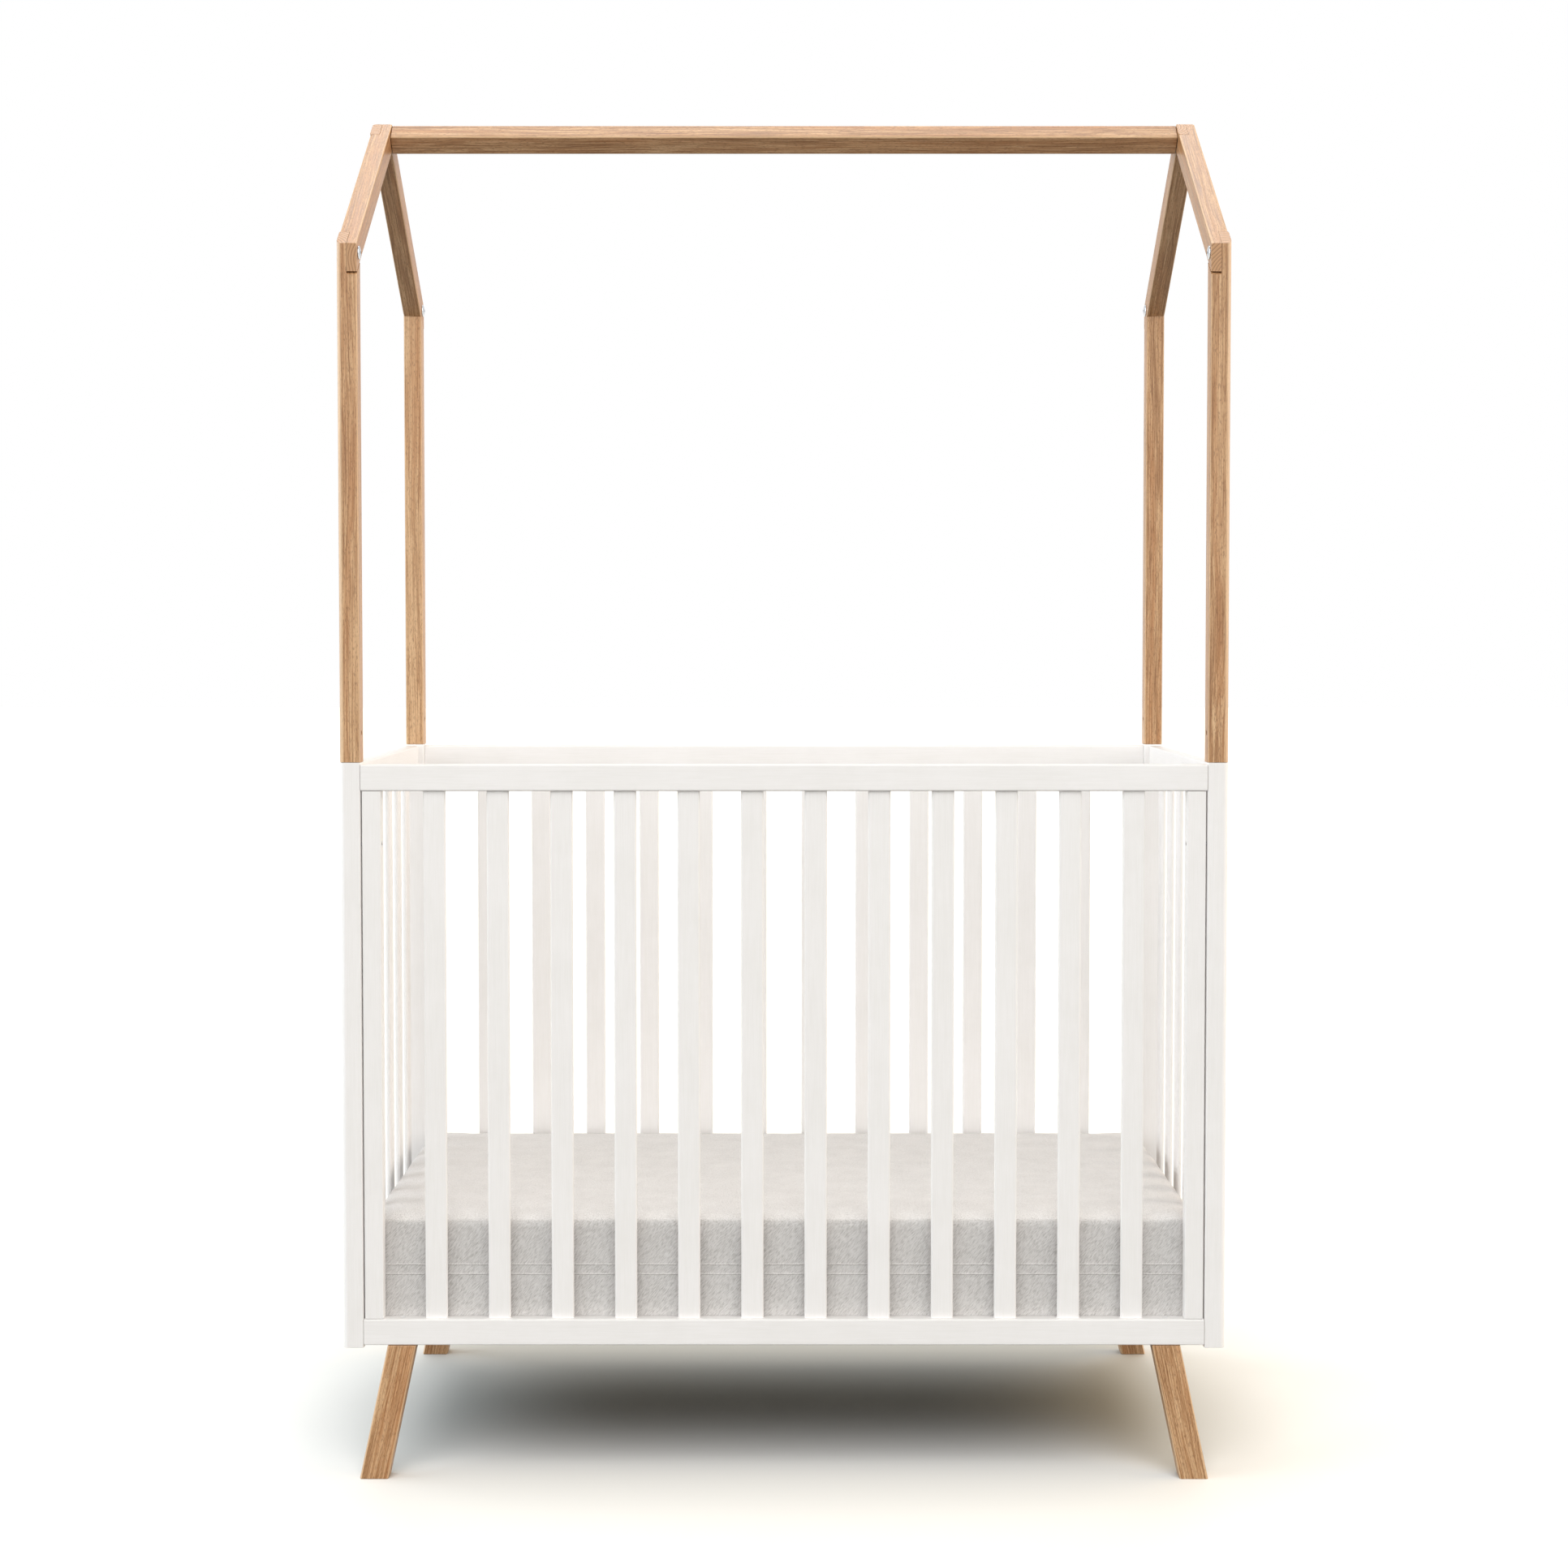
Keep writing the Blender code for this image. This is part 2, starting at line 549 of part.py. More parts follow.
def slatted_base():
    """Two side bars with slats let into them, lifted in and out in one piece."""
    length = 2 * (post_inner_x - BASE_CLEARANCE)
    width = 2 * (half_depth - RAIL_THICKNESS - BASE_CLEARANCE)
    slat = BASE_THICKNESS - BASE_BAR_THICKNESS + BASE_HOUSING
    bar = (length, BASE_BAR_WIDTH, BASE_BAR_THICKNESS)
    bar_y = (width - BASE_BAR_WIDTH) / 2
    bar_z = base_top - BASE_THICKNESS + BASE_BAR_THICKNESS / 2
    base = add_piece("slatted_base", box(bar), plain_spruce)
    base.location = (0, -bar_y, bar_z)
    join(base, box(bar), (0, bar_y, bar_z))
    pitch = (length - BASE_SLAT_WIDTH) / (BASE_SLATS - 1)
    row = add_cutter(box((BASE_SLAT_WIDTH, width, slat)))
    row.location = (-(length - BASE_SLAT_WIDTH) / 2, 0, base_top - slat / 2)
    copies = row.modifiers.new("row", "ARRAY")
    copies.count = BASE_SLATS
    copies.use_relative_offset = False
    copies.use_constant_offset = True
    copies.constant_offset_displace = (pitch, 0, 0)
    combine(base, row, "UNION")


def mattress():
    length = 2 * (post_inner_x - MATTRESS_CLEARANCE)
    width = 2 * (half_depth - RAIL_THICKNESS - MATTRESS_CLEARANCE)
    outline = rounded_outline(length, width, [MATTRESS_CORNER] * 4)
    pad = add_piece("mattress", prism(outline, MATTRESS_HEIGHT), knit_cover)
    pad.location = (0, 0, mattress_z + MATTRESS_HEIGHT / 2)
    round_ends(pad, MATTRESS_EDGE, 3)


# ---------------------------------------------------------------- fastenings
def bolt(name, points, socket_depth, location, rotation):
    """Turned bolt with its seat at local Z = 0, its head above and a hexagon socket in the head."""
    piece = add_piece(name, profile(points), chrome)
    piece.location = location
    piece.rotation_euler = rotation
    turned(piece)
    top = points[0][1]
    socket = add_cutter(cylinder(SOCKET_RADIUS, 2 * socket_depth, sides=6))
    socket.parent = piece
    socket.location = (0, 0, top)
    combine(piece, socket, "DIFFERENCE")


def domed_head(height):
    """Outline of a shallow domed head, from the crown down to the rim."""
    steps, rim = 4, 0.0008
    points = []
    for step in range(steps + 1):
        angle = step * math.pi / 2 / steps
        points.append((ROOF_HEAD_RADIUS * math.sin(angle), rim + (height - rim) * math.cos(angle)))
    points[0] = (0, height)
    return points + [(ROOF_HEAD_RADIUS, 0)]


def plain_head(height):
    return [(0, height), (SOCKET_HEAD_RADIUS - 0.0004, height), (SOCKET_HEAD_RADIUS, height - 0.0004),
            (SOCKET_HEAD_RADIUS, 0)]


def shank(length):
    return [(BOLT_RADIUS, 0), (BOLT_RADIUS, -length), (0, -length)]


def eave_fastening(corner, side, end):
    """Domed bolt from inside, through the half lap, into a flanged nut sunk in the outside face."""
    seat = post_inner_x - FIT_GAP
    nut_seat = half_length - ROOF_RECESS_DEPTH + FIT_GAP
    grip = nut_seat + NUT_HEIGHT - seat
    place = (side * seat, end * post_y, eave_bolt_z)
    bolt(f"eave_bolt_{corner}", domed_head(ROOF_HEAD_HEIGHT) + shank(grip), 0.0018, place, facing(-side))
    nut = add_piece(f"eave_nut_{corner}", cylinder(NUT_RADIUS, NUT_HEIGHT, sides=6), zinc)
    nut.location = (side * (nut_seat + NUT_HEIGHT / 2), end * post_y, eave_bolt_z)
    nut.rotation_euler = facing(side)
    flange_x = side * (nut_seat + NUT_FLANGE_HEIGHT / 2)
    flange = cylinder(NUT_FLANGE_RADIUS, NUT_FLANGE_HEIGHT)
    join(nut, flange, (flange_x, end * post_y, eave_bolt_z), facing(side))
    bore_along_x(nut, BOLT_HOLE_RADIUS, *span(side, seat, half_length + OVERRUN), end * post_y, eave_bolt_z)


def ridge_fastening(name, side):
    """Domed bolt from outside, through the halved rafters and into the end of the ridge beam."""
    seat = half_length - ROOF_RECESS_DEPTH + FIT_GAP
    grip = seat - post_inner_x + RIDGE_BOLT_GRIP
    place = (side * seat, 0, ridge_axis_z)
    bolt(name, domed_head(ROOF_HEAD_HEIGHT) + shank(grip), 0.0018, place, facing(side))


def post_connector(corner, side, end):
    """Cross nut in the canopy post, and the rod that ties it down to the corner post."""
    barrel = add_piece(f"connector_nut_{corner}", cylinder(BARREL_RADIUS, BARREL_LENGTH), zinc)
    barrel.location = (side * post_x, end * post_y, barrel_z)
    barrel.rotation_euler = facing(side)
    reach = 2 * BARREL_RADIUS
    bore_along_z(barrel, ROD_HOLE_RADIUS, barrel_z - reach, barrel_z + reach, *barrel.location.xy)
    foot, head = CORNER_POST_TOP - ROD_BELOW_JOINT, barrel_z + ROD_ABOVE_BARREL
    rod = add_piece(f"connector_rod_{corner}", cylinder(ROD_RADIUS, head - foot, sides=12), zinc)
    rod.location = (*barrel.location.xy, (foot + head) / 2)


def leg_bolt(corner, side, end):
    seat = bottom_rail_top - LEG_RECESS_DEPTH + FIT_GAP
    place = (side * leg_bolt_x, end * leg_bolt_y, seat)
    bolt(f"leg_bolt_{corner}", plain_head(LEG_HEAD_HEIGHT) + shank(LEG_BOLT_GRIP), 0.003, place, (0, 0, 0))


def stile_bolt(corner, side, end):
    seat = stile_inner_x + STILE_RECESS_DEPTH - FIT_GAP
    grip = post_inner_x + STILE_BOLT_GRIP - seat
    place = (side * seat, end * rail_y, STILE_BOLT_HEIGHT)
    bolt(f"stile_bolt_{corner}", plain_head(STILE_HEAD_HEIGHT) + shank(grip), 0.0018, place, facing(-side))


# ---------------------------------------------------------------- assembly
for corner, (side, end) in corners.items():
    corner_post(f"corner_post_{corner}", side, end)
    canopy_post(f"canopy_post_{corner}", side, end)
    rafter(f"rafter_{corner}", side, end, "inner" if side == end else "outer")
    stile(f"stile_{corner}", side, end)
    leg(f"leg_{corner}", side, end)
    eave_fastening(corner, side, end)
    post_connector(corner, side, end)
    leg_bolt(corner, side, end)
    stile_bolt(corner, side, end)
ridge_beam()
for end_name, end in (("front", -1), ("rear", 1)):
    long_panel(f"{end_name}_slat_panel", end)
    ledger(f"ledger_{end_name}", end)
for side_name, side in (("left", -1), ("right", 1)):
    end_panel(f"{side_name}_slat_panel", side)
    ridge_fastening(f"ridge_bolt_{side_name}", side)
slatted_base()
mattress()
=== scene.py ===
import math

import bmesh
import bpy
from mathutils import Euler, Matrix, Vector


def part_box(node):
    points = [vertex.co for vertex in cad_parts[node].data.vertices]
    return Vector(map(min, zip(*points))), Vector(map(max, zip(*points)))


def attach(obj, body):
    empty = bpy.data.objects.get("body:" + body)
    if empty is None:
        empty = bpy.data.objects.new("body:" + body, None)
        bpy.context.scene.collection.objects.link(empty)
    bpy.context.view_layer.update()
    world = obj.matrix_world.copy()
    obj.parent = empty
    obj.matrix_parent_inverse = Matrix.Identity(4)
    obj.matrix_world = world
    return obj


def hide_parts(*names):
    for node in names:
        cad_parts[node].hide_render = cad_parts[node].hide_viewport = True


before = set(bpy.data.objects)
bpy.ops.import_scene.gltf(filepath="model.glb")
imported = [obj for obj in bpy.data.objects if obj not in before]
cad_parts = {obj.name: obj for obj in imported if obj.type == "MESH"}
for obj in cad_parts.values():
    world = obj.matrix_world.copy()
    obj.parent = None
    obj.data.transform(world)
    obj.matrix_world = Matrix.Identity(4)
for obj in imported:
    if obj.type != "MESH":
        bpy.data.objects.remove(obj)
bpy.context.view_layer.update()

corners = {"front_left": (-1, -1), "front_right": (1, -1), "rear_left": (-1, 1), "rear_right": (1, 1)}
touching = 0.00001   # metres, places closer than this count as one
nearly = 0.9         # a face or an edge this close to an axis points along it
roundSides = 48      # of a turned piece
hexagon = 6


# shared tools

def linear(hexCode):  # sRGB hex to scene linear
    channels = [int(hexCode[i:i + 2], 16) / 255 for i in (1, 3, 5)]
    return [c / 12.92 if c <= 0.04045 else ((c + 0.055) / 1.055) ** 2.4 for c in channels] + [1.0]


def addNode(tree, kind, settings={}, inputs={}):  # one node with its settings, values and links
    item = tree.nodes.new("ShaderNode" + kind)
    for name, value in settings.items():
        if name == "stops":
            while len(item.color_ramp.elements) < len(value):
                item.color_ramp.elements.new(0.5)
            for element, (place, colour) in zip(item.color_ramp.elements, value):
                element.position, element.color = place, colour
        else:
            setattr(item, name, value)
    for name, value in inputs.items():
        if isinstance(value, bpy.types.NodeSocket):
            tree.links.new(value, item.inputs[name])
        else:
            item.inputs[name].default_value = value
    return item


def compute(tree, operation, *values):  # one sum on numbers
    return addNode(tree, "Math", {"operation": operation}, dict(enumerate(values))).outputs[0]


def remap(tree, value, given=(0.0, 1.0), wanted=(0.0, 1.0)):  # from one range to another, cut off at the ends
    return addNode(tree, "MapRange", inputs={
        "Value": value, "From Min": given[0], "From Max": given[1],
        "To Min": wanted[0], "To Max": wanted[1]}).outputs[0]


def ramp(tree, value, colours, tones):  # tones says which colour stands at which value
    stops = [(place, linear(colours[name])) for name, place in tones.items()]
    return addNode(tree, "ValToRGB", {"stops": stops}, {"Fac": value}).outputs["Color"]


def mixColours(tree, share, first, second, way="MIX"):
    return addNode(tree, "Mix", {"data_type": "RGBA", "blend_type": way}, {
        0: share, 6: first, 7: second}).outputs[2]


def mapSpace(tree, space, **changes):  # turned, moved or scaled
    return addNode(tree, "Mapping", inputs={"Vector": space, **changes}).outputs["Vector"]


def noise(tree, space, detail, rough=0.5, scale=1.0):
    return addNode(tree, "TexNoise", inputs={
        "Vector": space, "Scale": scale, "Detail": detail, "Roughness": rough}).outputs


def addBump(tree, height, strength, depth):
    return addNode(tree, "Bump", inputs={
        "Height": height, "Strength": strength, "Distance": depth}).outputs["Normal"]


def newMaterial(name):
    material = bpy.data.materials.new(name)
    material.use_nodes = True
    material.node_tree.nodes.clear()
    return material, material.node_tree


def closeMaterial(tree, inputs):
    shader = addNode(tree, "BsdfPrincipled", inputs=inputs)
    addNode(tree, "OutputMaterial", inputs={"Surface": shader.outputs["BSDF"]})


def setMaterial(piece, material):
    piece.data.materials.clear()
    piece.data.materials.append(material)


def selectOnly(piece):
    bpy.ops.object.select_all(action="DESELECT")
    piece.select_set(True)
    bpy.context.view_layer.objects.active = piece


def applyModifiers(piece):
    selectOnly(piece)
    for modifier in list(piece.modifiers):
        bpy.ops.object.modifier_apply(modifier=modifier.name)


def selectParts(piece, kind, test):  # in edit mode, faces or edges by their place, normal or direction
    bpy.ops.mesh.select_mode(type=kind)
    shape = bmesh.from_edit_mesh(piece.data)
    for items in (shape.faces, shape.edges, shape.verts):
        for item in items:
            item.select = False
    for item in shape.faces if kind == "FACE" else shape.edges:
        if test(item):
            item.select = True
    bmesh.update_edit_mesh(piece.data)


def edgeRun(edge):
    return (edge.verts[1].co - edge.verts[0].co).normalized()


def middle(node):
    low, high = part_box(node)
    return (low + high) / 2


# camera, 1.2 m up, looking a touch downwards
camera = {
    "place": (0.0, -3.8192, 1.2049),
    "tilt": 87.842,     # degrees up from straight down
    "lens": 56.54,
    "sensor": 36,
    "shiftUp": -0.0327,
}


def addCamera():
    data = bpy.data.cameras.new("camera")
    data.lens = camera["lens"]
    data.sensor_width = camera["sensor"]
    data.shift_y = camera["shiftUp"]
    holder = bpy.data.objects.new("camera", data)
    holder.location = camera["place"]
    holder.rotation_euler = (math.radians(camera["tilt"]), 0, 0)
    bpy.context.scene.collection.objects.link(holder)
    bpy.context.scene.camera = holder


addCamera()
print("camera placed")


# beech under a satin oil: tan, close rings drawn out as streaks, short dark ray flecks, a soft sheen
beech = {
    "pale": "#dab48b",
    "main": "#b4885f",
    "dark": "#8a5f39",
    "ruddy": "#b77c4c",
    "fleck": "#744d2d",
    "endGrain": "#cb9e74",
    "arris": "#eccba4",       # painted highlight: paler colour on the rounded edges in place of the lamps' sheen on them
    "paintedJointShade": "#3f2714",        # painted shade: dark colour on the rounded ends that stands for the shadow in the joint
    "ringSpacing": 0.0042,    # metres, as all sizes here
    "streakWidth": 0.0020,
    "streakLength": 0.120,
    "fleckWidth": 0.0011,     # about twice the real flecks, which are too fine to show
    "fleckLength": 0.0060,
    "fleckDepth": 0.50,
    "roughness": (0.32, 0.45),
    "ior": 1.45,              # thin dry oil
    "bump": 0.00006,
}

# planed spruce of the hidden base: much paler, wider rings, dry and dull
spruce = {
    "pale": "#f8f3e8",
    "main": "#f2eadb",
    "dark": "#e4d8c1",
    "ruddy": "#eadcc3",
    "fleck": "#d6c3a0",
    "endGrain": "#f0e7d6",
    # painted highlight on the rounded edges, as on the beech
    "arris": "#f8f3e8",
    "paintedJointShade": "#c9b48f",
    "ringSpacing": 0.0048,
    "streakWidth": 0.0020,
    "streakLength": 0.080,
    "fleckWidth": 0.0010,
    "fleckLength": 0.0080,
    "fleckDepth": 0.25,
    "roughness": (0.58, 0.70),
    "ior": 1.40,
    "bump": 0.00018,
}

# the figure that every board shares
figure = {
    "wanderScale": (9, 9, 1.6),   # per metre, long waves in the rings
    "wander": 0.030,
    "bandScale": (90, 90, 2.2),   # per metre, broad bands of paler and darker wood
    "ringStops": ((0.0, 0.05), (0.18, 0.60), (0.72, 0.85), (0.97, 0.05)),
    "ringShare": 0.20,            # what each pattern gives to the tone
    "fibreShare": 0.58,
    "bandShare": 0.22,
    "tones": {"dark": 0.18, "main": 0.50, "pale": 0.86},
    "fibreRoughness": 0.75,
    "fibreRange": (0.36, 0.64),   # where each pattern sets in and where it is full
    "bandRange": (0.32, 0.68),
    "ruddyRange": (0.45, 0.70),
    "fleckRange": (0.54, 0.68),
    "cutEndRange": (0.45, 0.70),
    "arrisRange": (0.04, 0.35),
    "paintedJointShadeRange": (0.06, 0.20),
    "ruddyShare": 0.5,
    "arrisShare": 0.5,
    "bumpStrength": 0.8,
}


# turn lays the grain along local Z, pith is the heart of the log, pallor makes one board a shade paler,
# and the last argument darkens the rounding at square ends: painted shade that stands for the shadow in a
# joint
def woodMaterial(name, wood, centre, turn, pith, pallor=0.0, paintedJointShade=0.0):
    material, tree = newMaterial(name)
    place = Vector(pith) - Euler(turn).to_matrix() @ centre
    surface = addNode(tree, "TexCoord").outputs
    grain = mapSpace(tree, surface["Object"], Rotation=turn, Location=place)

    # the rings wander slowly along the board
    wander = noise(tree, mapSpace(tree, grain, Scale=figure["wanderScale"]), 3.0)["Color"]
    offset = addNode(tree, "VectorMath", {"operation": "MULTIPLY_ADD"}, {
        0: wander, 1: [figure["wander"]] * 3, 2: [-figure["wander"] / 2] * 3}).outputs[0]
    bent = addNode(tree, "VectorMath", {"operation": "ADD"}, {0: grain, 1: offset}).outputs[0]
    flat = addNode(tree, "VectorMath", {"operation": "MULTIPLY"}, {0: bent, 1: (1, 1, 0)}).outputs[0]
    radius = addNode(tree, "VectorMath", {"operation": "LENGTH"}, {0: flat}).outputs["Value"]
    ring = compute(tree, "FRACT", compute(tree, "DIVIDE", radius, wood["ringSpacing"]))
    ringTone = addNode(tree, "ValToRGB", {"stops": [
        (stop, (grey, grey, grey, 1)) for stop, grey in figure["ringStops"]]},
        {"Fac": ring}).outputs["Color"]

    # fibres drawn out along the grain, and broad bands of paler and darker wood
    fibreScale = (1 / wood["streakWidth"], 1 / wood["streakWidth"], 1 / wood["streakLength"])
    fibreNoise = noise(tree, mapSpace(tree, bent, Scale=fibreScale), 3.0, figure["fibreRoughness"])["Fac"]
    fibre = remap(tree, fibreNoise, figure["fibreRange"])
    bandNoise = noise(tree, mapSpace(tree, bent, Scale=figure["bandScale"]), 2.0)
    band = remap(tree, bandNoise["Fac"], figure["bandRange"])
    bandPart = compute(tree, "MULTIPLY", band, figure["bandShare"])
    fibrePart = compute(tree, "MULTIPLY_ADD", fibre, figure["fibreShare"], bandPart)
    ringPart = compute(tree, "MULTIPLY_ADD", ringTone, figure["ringShare"], fibrePart)
    browns = ramp(tree, compute(tree, "ADD", ringPart, pallor), wood, figure["tones"])
    warmth = addNode(tree, "SeparateColor", inputs={"Color": bandNoise["Color"]}).outputs["Green"]
    ruddy = remap(tree, warmth, figure["ruddyRange"], (0.0, figure["ruddyShare"]))
    colour = mixColours(tree, ruddy, browns, linear(wood["ruddy"]))

    # short flecks of the rays
    fleckScale = (1 / wood["fleckWidth"], 1 / wood["fleckWidth"], 1 / wood["fleckLength"])
    fleckNoise = noise(tree, mapSpace(tree, bent, Scale=fleckScale), 1.0)["Fac"]
    fleck = remap(tree, fleckNoise, figure["fleckRange"], (0.0, wood["fleckDepth"]))
    flecked = mixColours(tree, fleck, colour, linear(wood["fleck"]))

    # cut ends show the rings across the fibres
    facing = addNode(tree, "Mapping", {"vector_type": "NORMAL"}, {
        "Vector": surface["Normal"], "Rotation": turn}).outputs["Vector"]
    axes = addNode(tree, "SeparateXYZ", inputs={"Vector": facing}).outputs
    lengthwise = compute(tree, "ABSOLUTE", axes["Z"])
    cutEnd = remap(tree, lengthwise, figure["cutEndRange"])
    endTone = mixColours(tree, ringTone, linear(wood["dark"]), linear(wood["endGrain"]))
    cut = mixColours(tree, cutEnd, flecked, endTone)

    # long arrises, where the surface turns from one flat to the next, painted paler: a painted highlight for
    # the lamps' sheen on the rounding
    turned = compute(tree, "ABSOLUTE", compute(tree, "MULTIPLY", axes["X"], axes["Y"]))
    arris = remap(tree, turned, figure["arrisRange"], (0.0, figure["arrisShare"]))
    highlighted = mixColours(tree, arris, cut, linear(wood["arris"]))

    # the rounding at an end, neither along the grain nor across it: painted shade, dark colour for the shadow
    # in the joint
    endTurn = compute(tree, "MULTIPLY", lengthwise, compute(tree, "SUBTRACT", 1.0, lengthwise))
    jointShadePart = remap(tree, endTurn, figure["paintedJointShadeRange"], (0.0, paintedJointShade))
    finished = mixColours(tree, jointShadePart, highlighted, linear(wood["paintedJointShade"]))

    relief = compute(tree, "SUBTRACT", fibre, fleck)
    closeMaterial(tree, {
        "Base Color": finished,
        "Roughness": remap(tree, fibre, wanted=wood["roughness"]),
        "Normal": addBump(tree, relief, figure["bumpStrength"], wood["bump"]),
        "IOR": wood["ior"]})
    return material


# where in the log each board is sawn from, so that no two look alike
sawing = {
    "turn": 137.5,        # degrees round the heart from one board to the next
    "firstTurn": 40,
    "nearest": 0.035,     # metres from the heart
    "step": 0.005,
    "rows": 6,
    "apart": 0.37,        # along the log
}


def pithPlace(index):
    angle = math.radians(sawing["turn"] * index + sawing["firstTurn"])
    distance = sawing["nearest"] + sawing["step"] * (index * 3 % sawing["rows"])
    return (distance * math.cos(angle), distance * math.sin(angle), sawing["apart"] * index)


easing = {"flat": 0.5, "sharp": 40, "segments": 2, "faceWeight": 80}   # the first two in degrees


def easeEdges(piece, width):  # joins the loose triangles, rounds the arrises, keeps the flats flat
    piece.data.shade_smooth()
    weld = piece.modifiers.new("weld", "WELD")
    weld.merge_threshold = touching
    flat = piece.modifiers.new("flat", "DECIMATE")
    flat.decimate_type = "DISSOLVE"
    flat.angle_limit = math.radians(easing["flat"])
    ease = piece.modifiers.new("ease", "BEVEL")
    ease.width = width
    ease.segments = easing["segments"]
    ease.limit_method = "ANGLE"
    ease.angle_limit = math.radians(easing["sharp"])
    ease.miter_outer = "MITER_ARC"
    shade = piece.modifiers.new("shade", "WEIGHTED_NORMAL")
    shade.weight = easing["faceWeight"]
    shade.keep_sharp = True


alongX, alongY, alongZ = (0, -math.pi / 2, 0), (math.pi / 2, 0, 0), (0, 0, 0)   # turns that lay the grain

canopy = {
    "roofAngle": 35.75,   # degrees
    "legSplay": 12,
    "postEase": 0.0006,   # metres rounded off the arrises
    "roofEase": 0.0006,
    "legEase": 0.0012,
    "pallors": {          # boards a shade paler than the rest
        "canopy_post_front_left": 0.03, "canopy_post_rear_left": 0.20,
        "leg_front_left": 0.08, "leg_front_right": 0.05},
}

baseBoards = {"ease": 0.0008, "firstPith": 20}


def finishBeech():
    index = 0
    uphill = math.pi / 2 - math.radians(canopy["roofAngle"])
    splay = math.radians(canopy["legSplay"])
    for corner, (side, end) in corners.items():
        for node, turn, ease in (
                (f"canopy_post_{corner}", alongZ, canopy["postEase"]),
                (f"rafter_{corner}", (-end * uphill, 0, 0), canopy["roofEase"]),
                (f"leg_{corner}", (0, side * splay, 0), canopy["legEase"])):
            pallor = canopy["pallors"].get(node, 0.0)
            setMaterial(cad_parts[node], woodMaterial(
                f"oiledBeech_{node}", beech, middle(node), turn, pithPlace(index), pallor))
            easeEdges(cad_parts[node], ease)
            index += 1
    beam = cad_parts["ridge_beam"]
    onCorner = (math.pi / 4, -math.pi / 2, 0)   # the beam stands on its corner
    # the beam's rounded ends get painted shade, a dark line for the shadow where they meet the rafters
    setMaterial(beam, woodMaterial(
        "oiledBeech_ridge_beam", beech, middle("ridge_beam"), onCorner, pithPlace(index), paintedJointShade=1.0))
    easeEdges(beam, canopy["roofEase"])


def finishSpruce():
    turns = {"ledger_front": alongX, "ledger_rear": alongX, "slatted_base": alongY}
    for index, (node, turn) in enumerate(turns.items()):
        pith = pithPlace(index + baseBoards["firstPith"])
        setMaterial(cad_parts[node], woodMaterial(
            f"planedSpruce_{node}", spruce, middle(node), turn, pith))
        easeEdges(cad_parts[node], baseBoards["ease"])


finishBeech()
finishSpruce()
print("wood finished")


# white satin lacquer sprayed on wood: even, softly glossy, the grain just telegraphs through as ripples
lacquer = {
    "colour": "#f4f1f0",
    "shade": "#efecea",
    "tones": {"shade": 0.36, "colour": 0.62},
    "roughness": (0.34, 0.44),
    "ior": 1.5,
    "peelSize": 0.0022,
    "grainWidth": 0.0016,
    "grainLength": 0.045,
    "cloudScale": 14.0,     # per metre
    "cloudRoughness": 0.6,
    "cloudRange": (0.3, 0.7),
    "cloudShare": 0.5,      # what cloud, grain and peel give
    "grainShare": 0.5,
    "peelShare": 0.5,
    "bump": 0.00004,
    "bumpStrength": 0.7,
    "ease": 0.0006,
}


def lacquerMaterial(name, turn, railTurn=None):  # railTurn is the grain of the rail below a panel's slats
    material, tree = newMaterial(name)
    surface = addNode(tree, "TexCoord").outputs["Object"]
    along = mapSpace(tree, surface, Rotation=turn)
    if railTurn:
        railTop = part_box("stile_front_left")[0].z
        height = addNode(tree, "SeparateXYZ", inputs={"Vector": surface}).outputs["Z"]
        above = compute(tree, "GREATER_THAN", height, railTop)
        along = addNode(tree, "Mix", {"data_type": "VECTOR"}, {
            0: above, 4: mapSpace(tree, surface, Rotation=railTurn), 5: along}).outputs[1]
    grainScale = (1 / lacquer["grainWidth"], 1 / lacquer["grainWidth"], 1 / lacquer["grainLength"])
    grain = noise(tree, mapSpace(tree, along, Scale=grainScale), 3.0)["Fac"]
    peel = noise(tree, surface, 1.5, scale=1 / lacquer["peelSize"])["Fac"]
    cloud = noise(tree, surface, 4.0, lacquer["cloudRoughness"], lacquer["cloudScale"])["Fac"]
    grainPart = compute(tree, "MULTIPLY", grain, lacquer["grainShare"])
    tone = compute(tree, "MULTIPLY_ADD", cloud, lacquer["cloudShare"], grainPart)
    relief = compute(tree, "MULTIPLY_ADD", peel, lacquer["peelShare"], grain)
    closeMaterial(tree, {
        "Base Color": ramp(tree, tone, lacquer, lacquer["tones"]),
        "Roughness": remap(tree, cloud, lacquer["cloudRange"], lacquer["roughness"]),
        "Normal": addBump(tree, relief, lacquer["bumpStrength"], lacquer["bump"]),
        "IOR": lacquer["ior"]})
    return material


def finishLacquer():
    uprights = lacquerMaterial("whiteLacquer_uprights", alongZ)
    longRails = lacquerMaterial("whiteLacquer_longRails", alongX)
    endRails = lacquerMaterial("whiteLacquer_endRails", alongY)
    longPanels = lacquerMaterial("whiteLacquer_longPanels", alongZ, alongX)
    endPanels = lacquerMaterial("whiteLacquer_endPanels", alongZ, alongY)
    painted = {f"{piece}_{corner}": uprights for piece in ("corner_post", "stile") for corner in corners}
    for side in ("front", "rear"):
        painted[f"{side}_top_rail"], painted[f"{side}_slat_panel"] = longRails, longPanels
    for side in ("left", "right"):
        painted[f"{side}_top_rail"], painted[f"{side}_slat_panel"] = endRails, endPanels
    for node, material in painted.items():
        setMaterial(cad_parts[node], material)
        easeEdges(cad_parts[node], lacquer["ease"])


finishLacquer()
print("lacquer finished")


# chrome plate: mirror bright, faint swirl marks; zinc plate: duller grey, cloudy patches. The marks are
# drawn coarser than real ones, which are too fine to show
chrome = {"colour": "#d5d8dc", "dull": "#bfc3c8", "roughness": (0.08, 0.16), "scuffSize": 0.0012}
zinc = {"colour": "#8b8f94", "dull": "#6f7378", "roughness": (0.30, 0.46), "scuffSize": 0.0018}
scuffing = {"roughness": 0.6, "range": (0.3, 0.7), "tones": {"dull": 0.35, "colour": 0.60}}


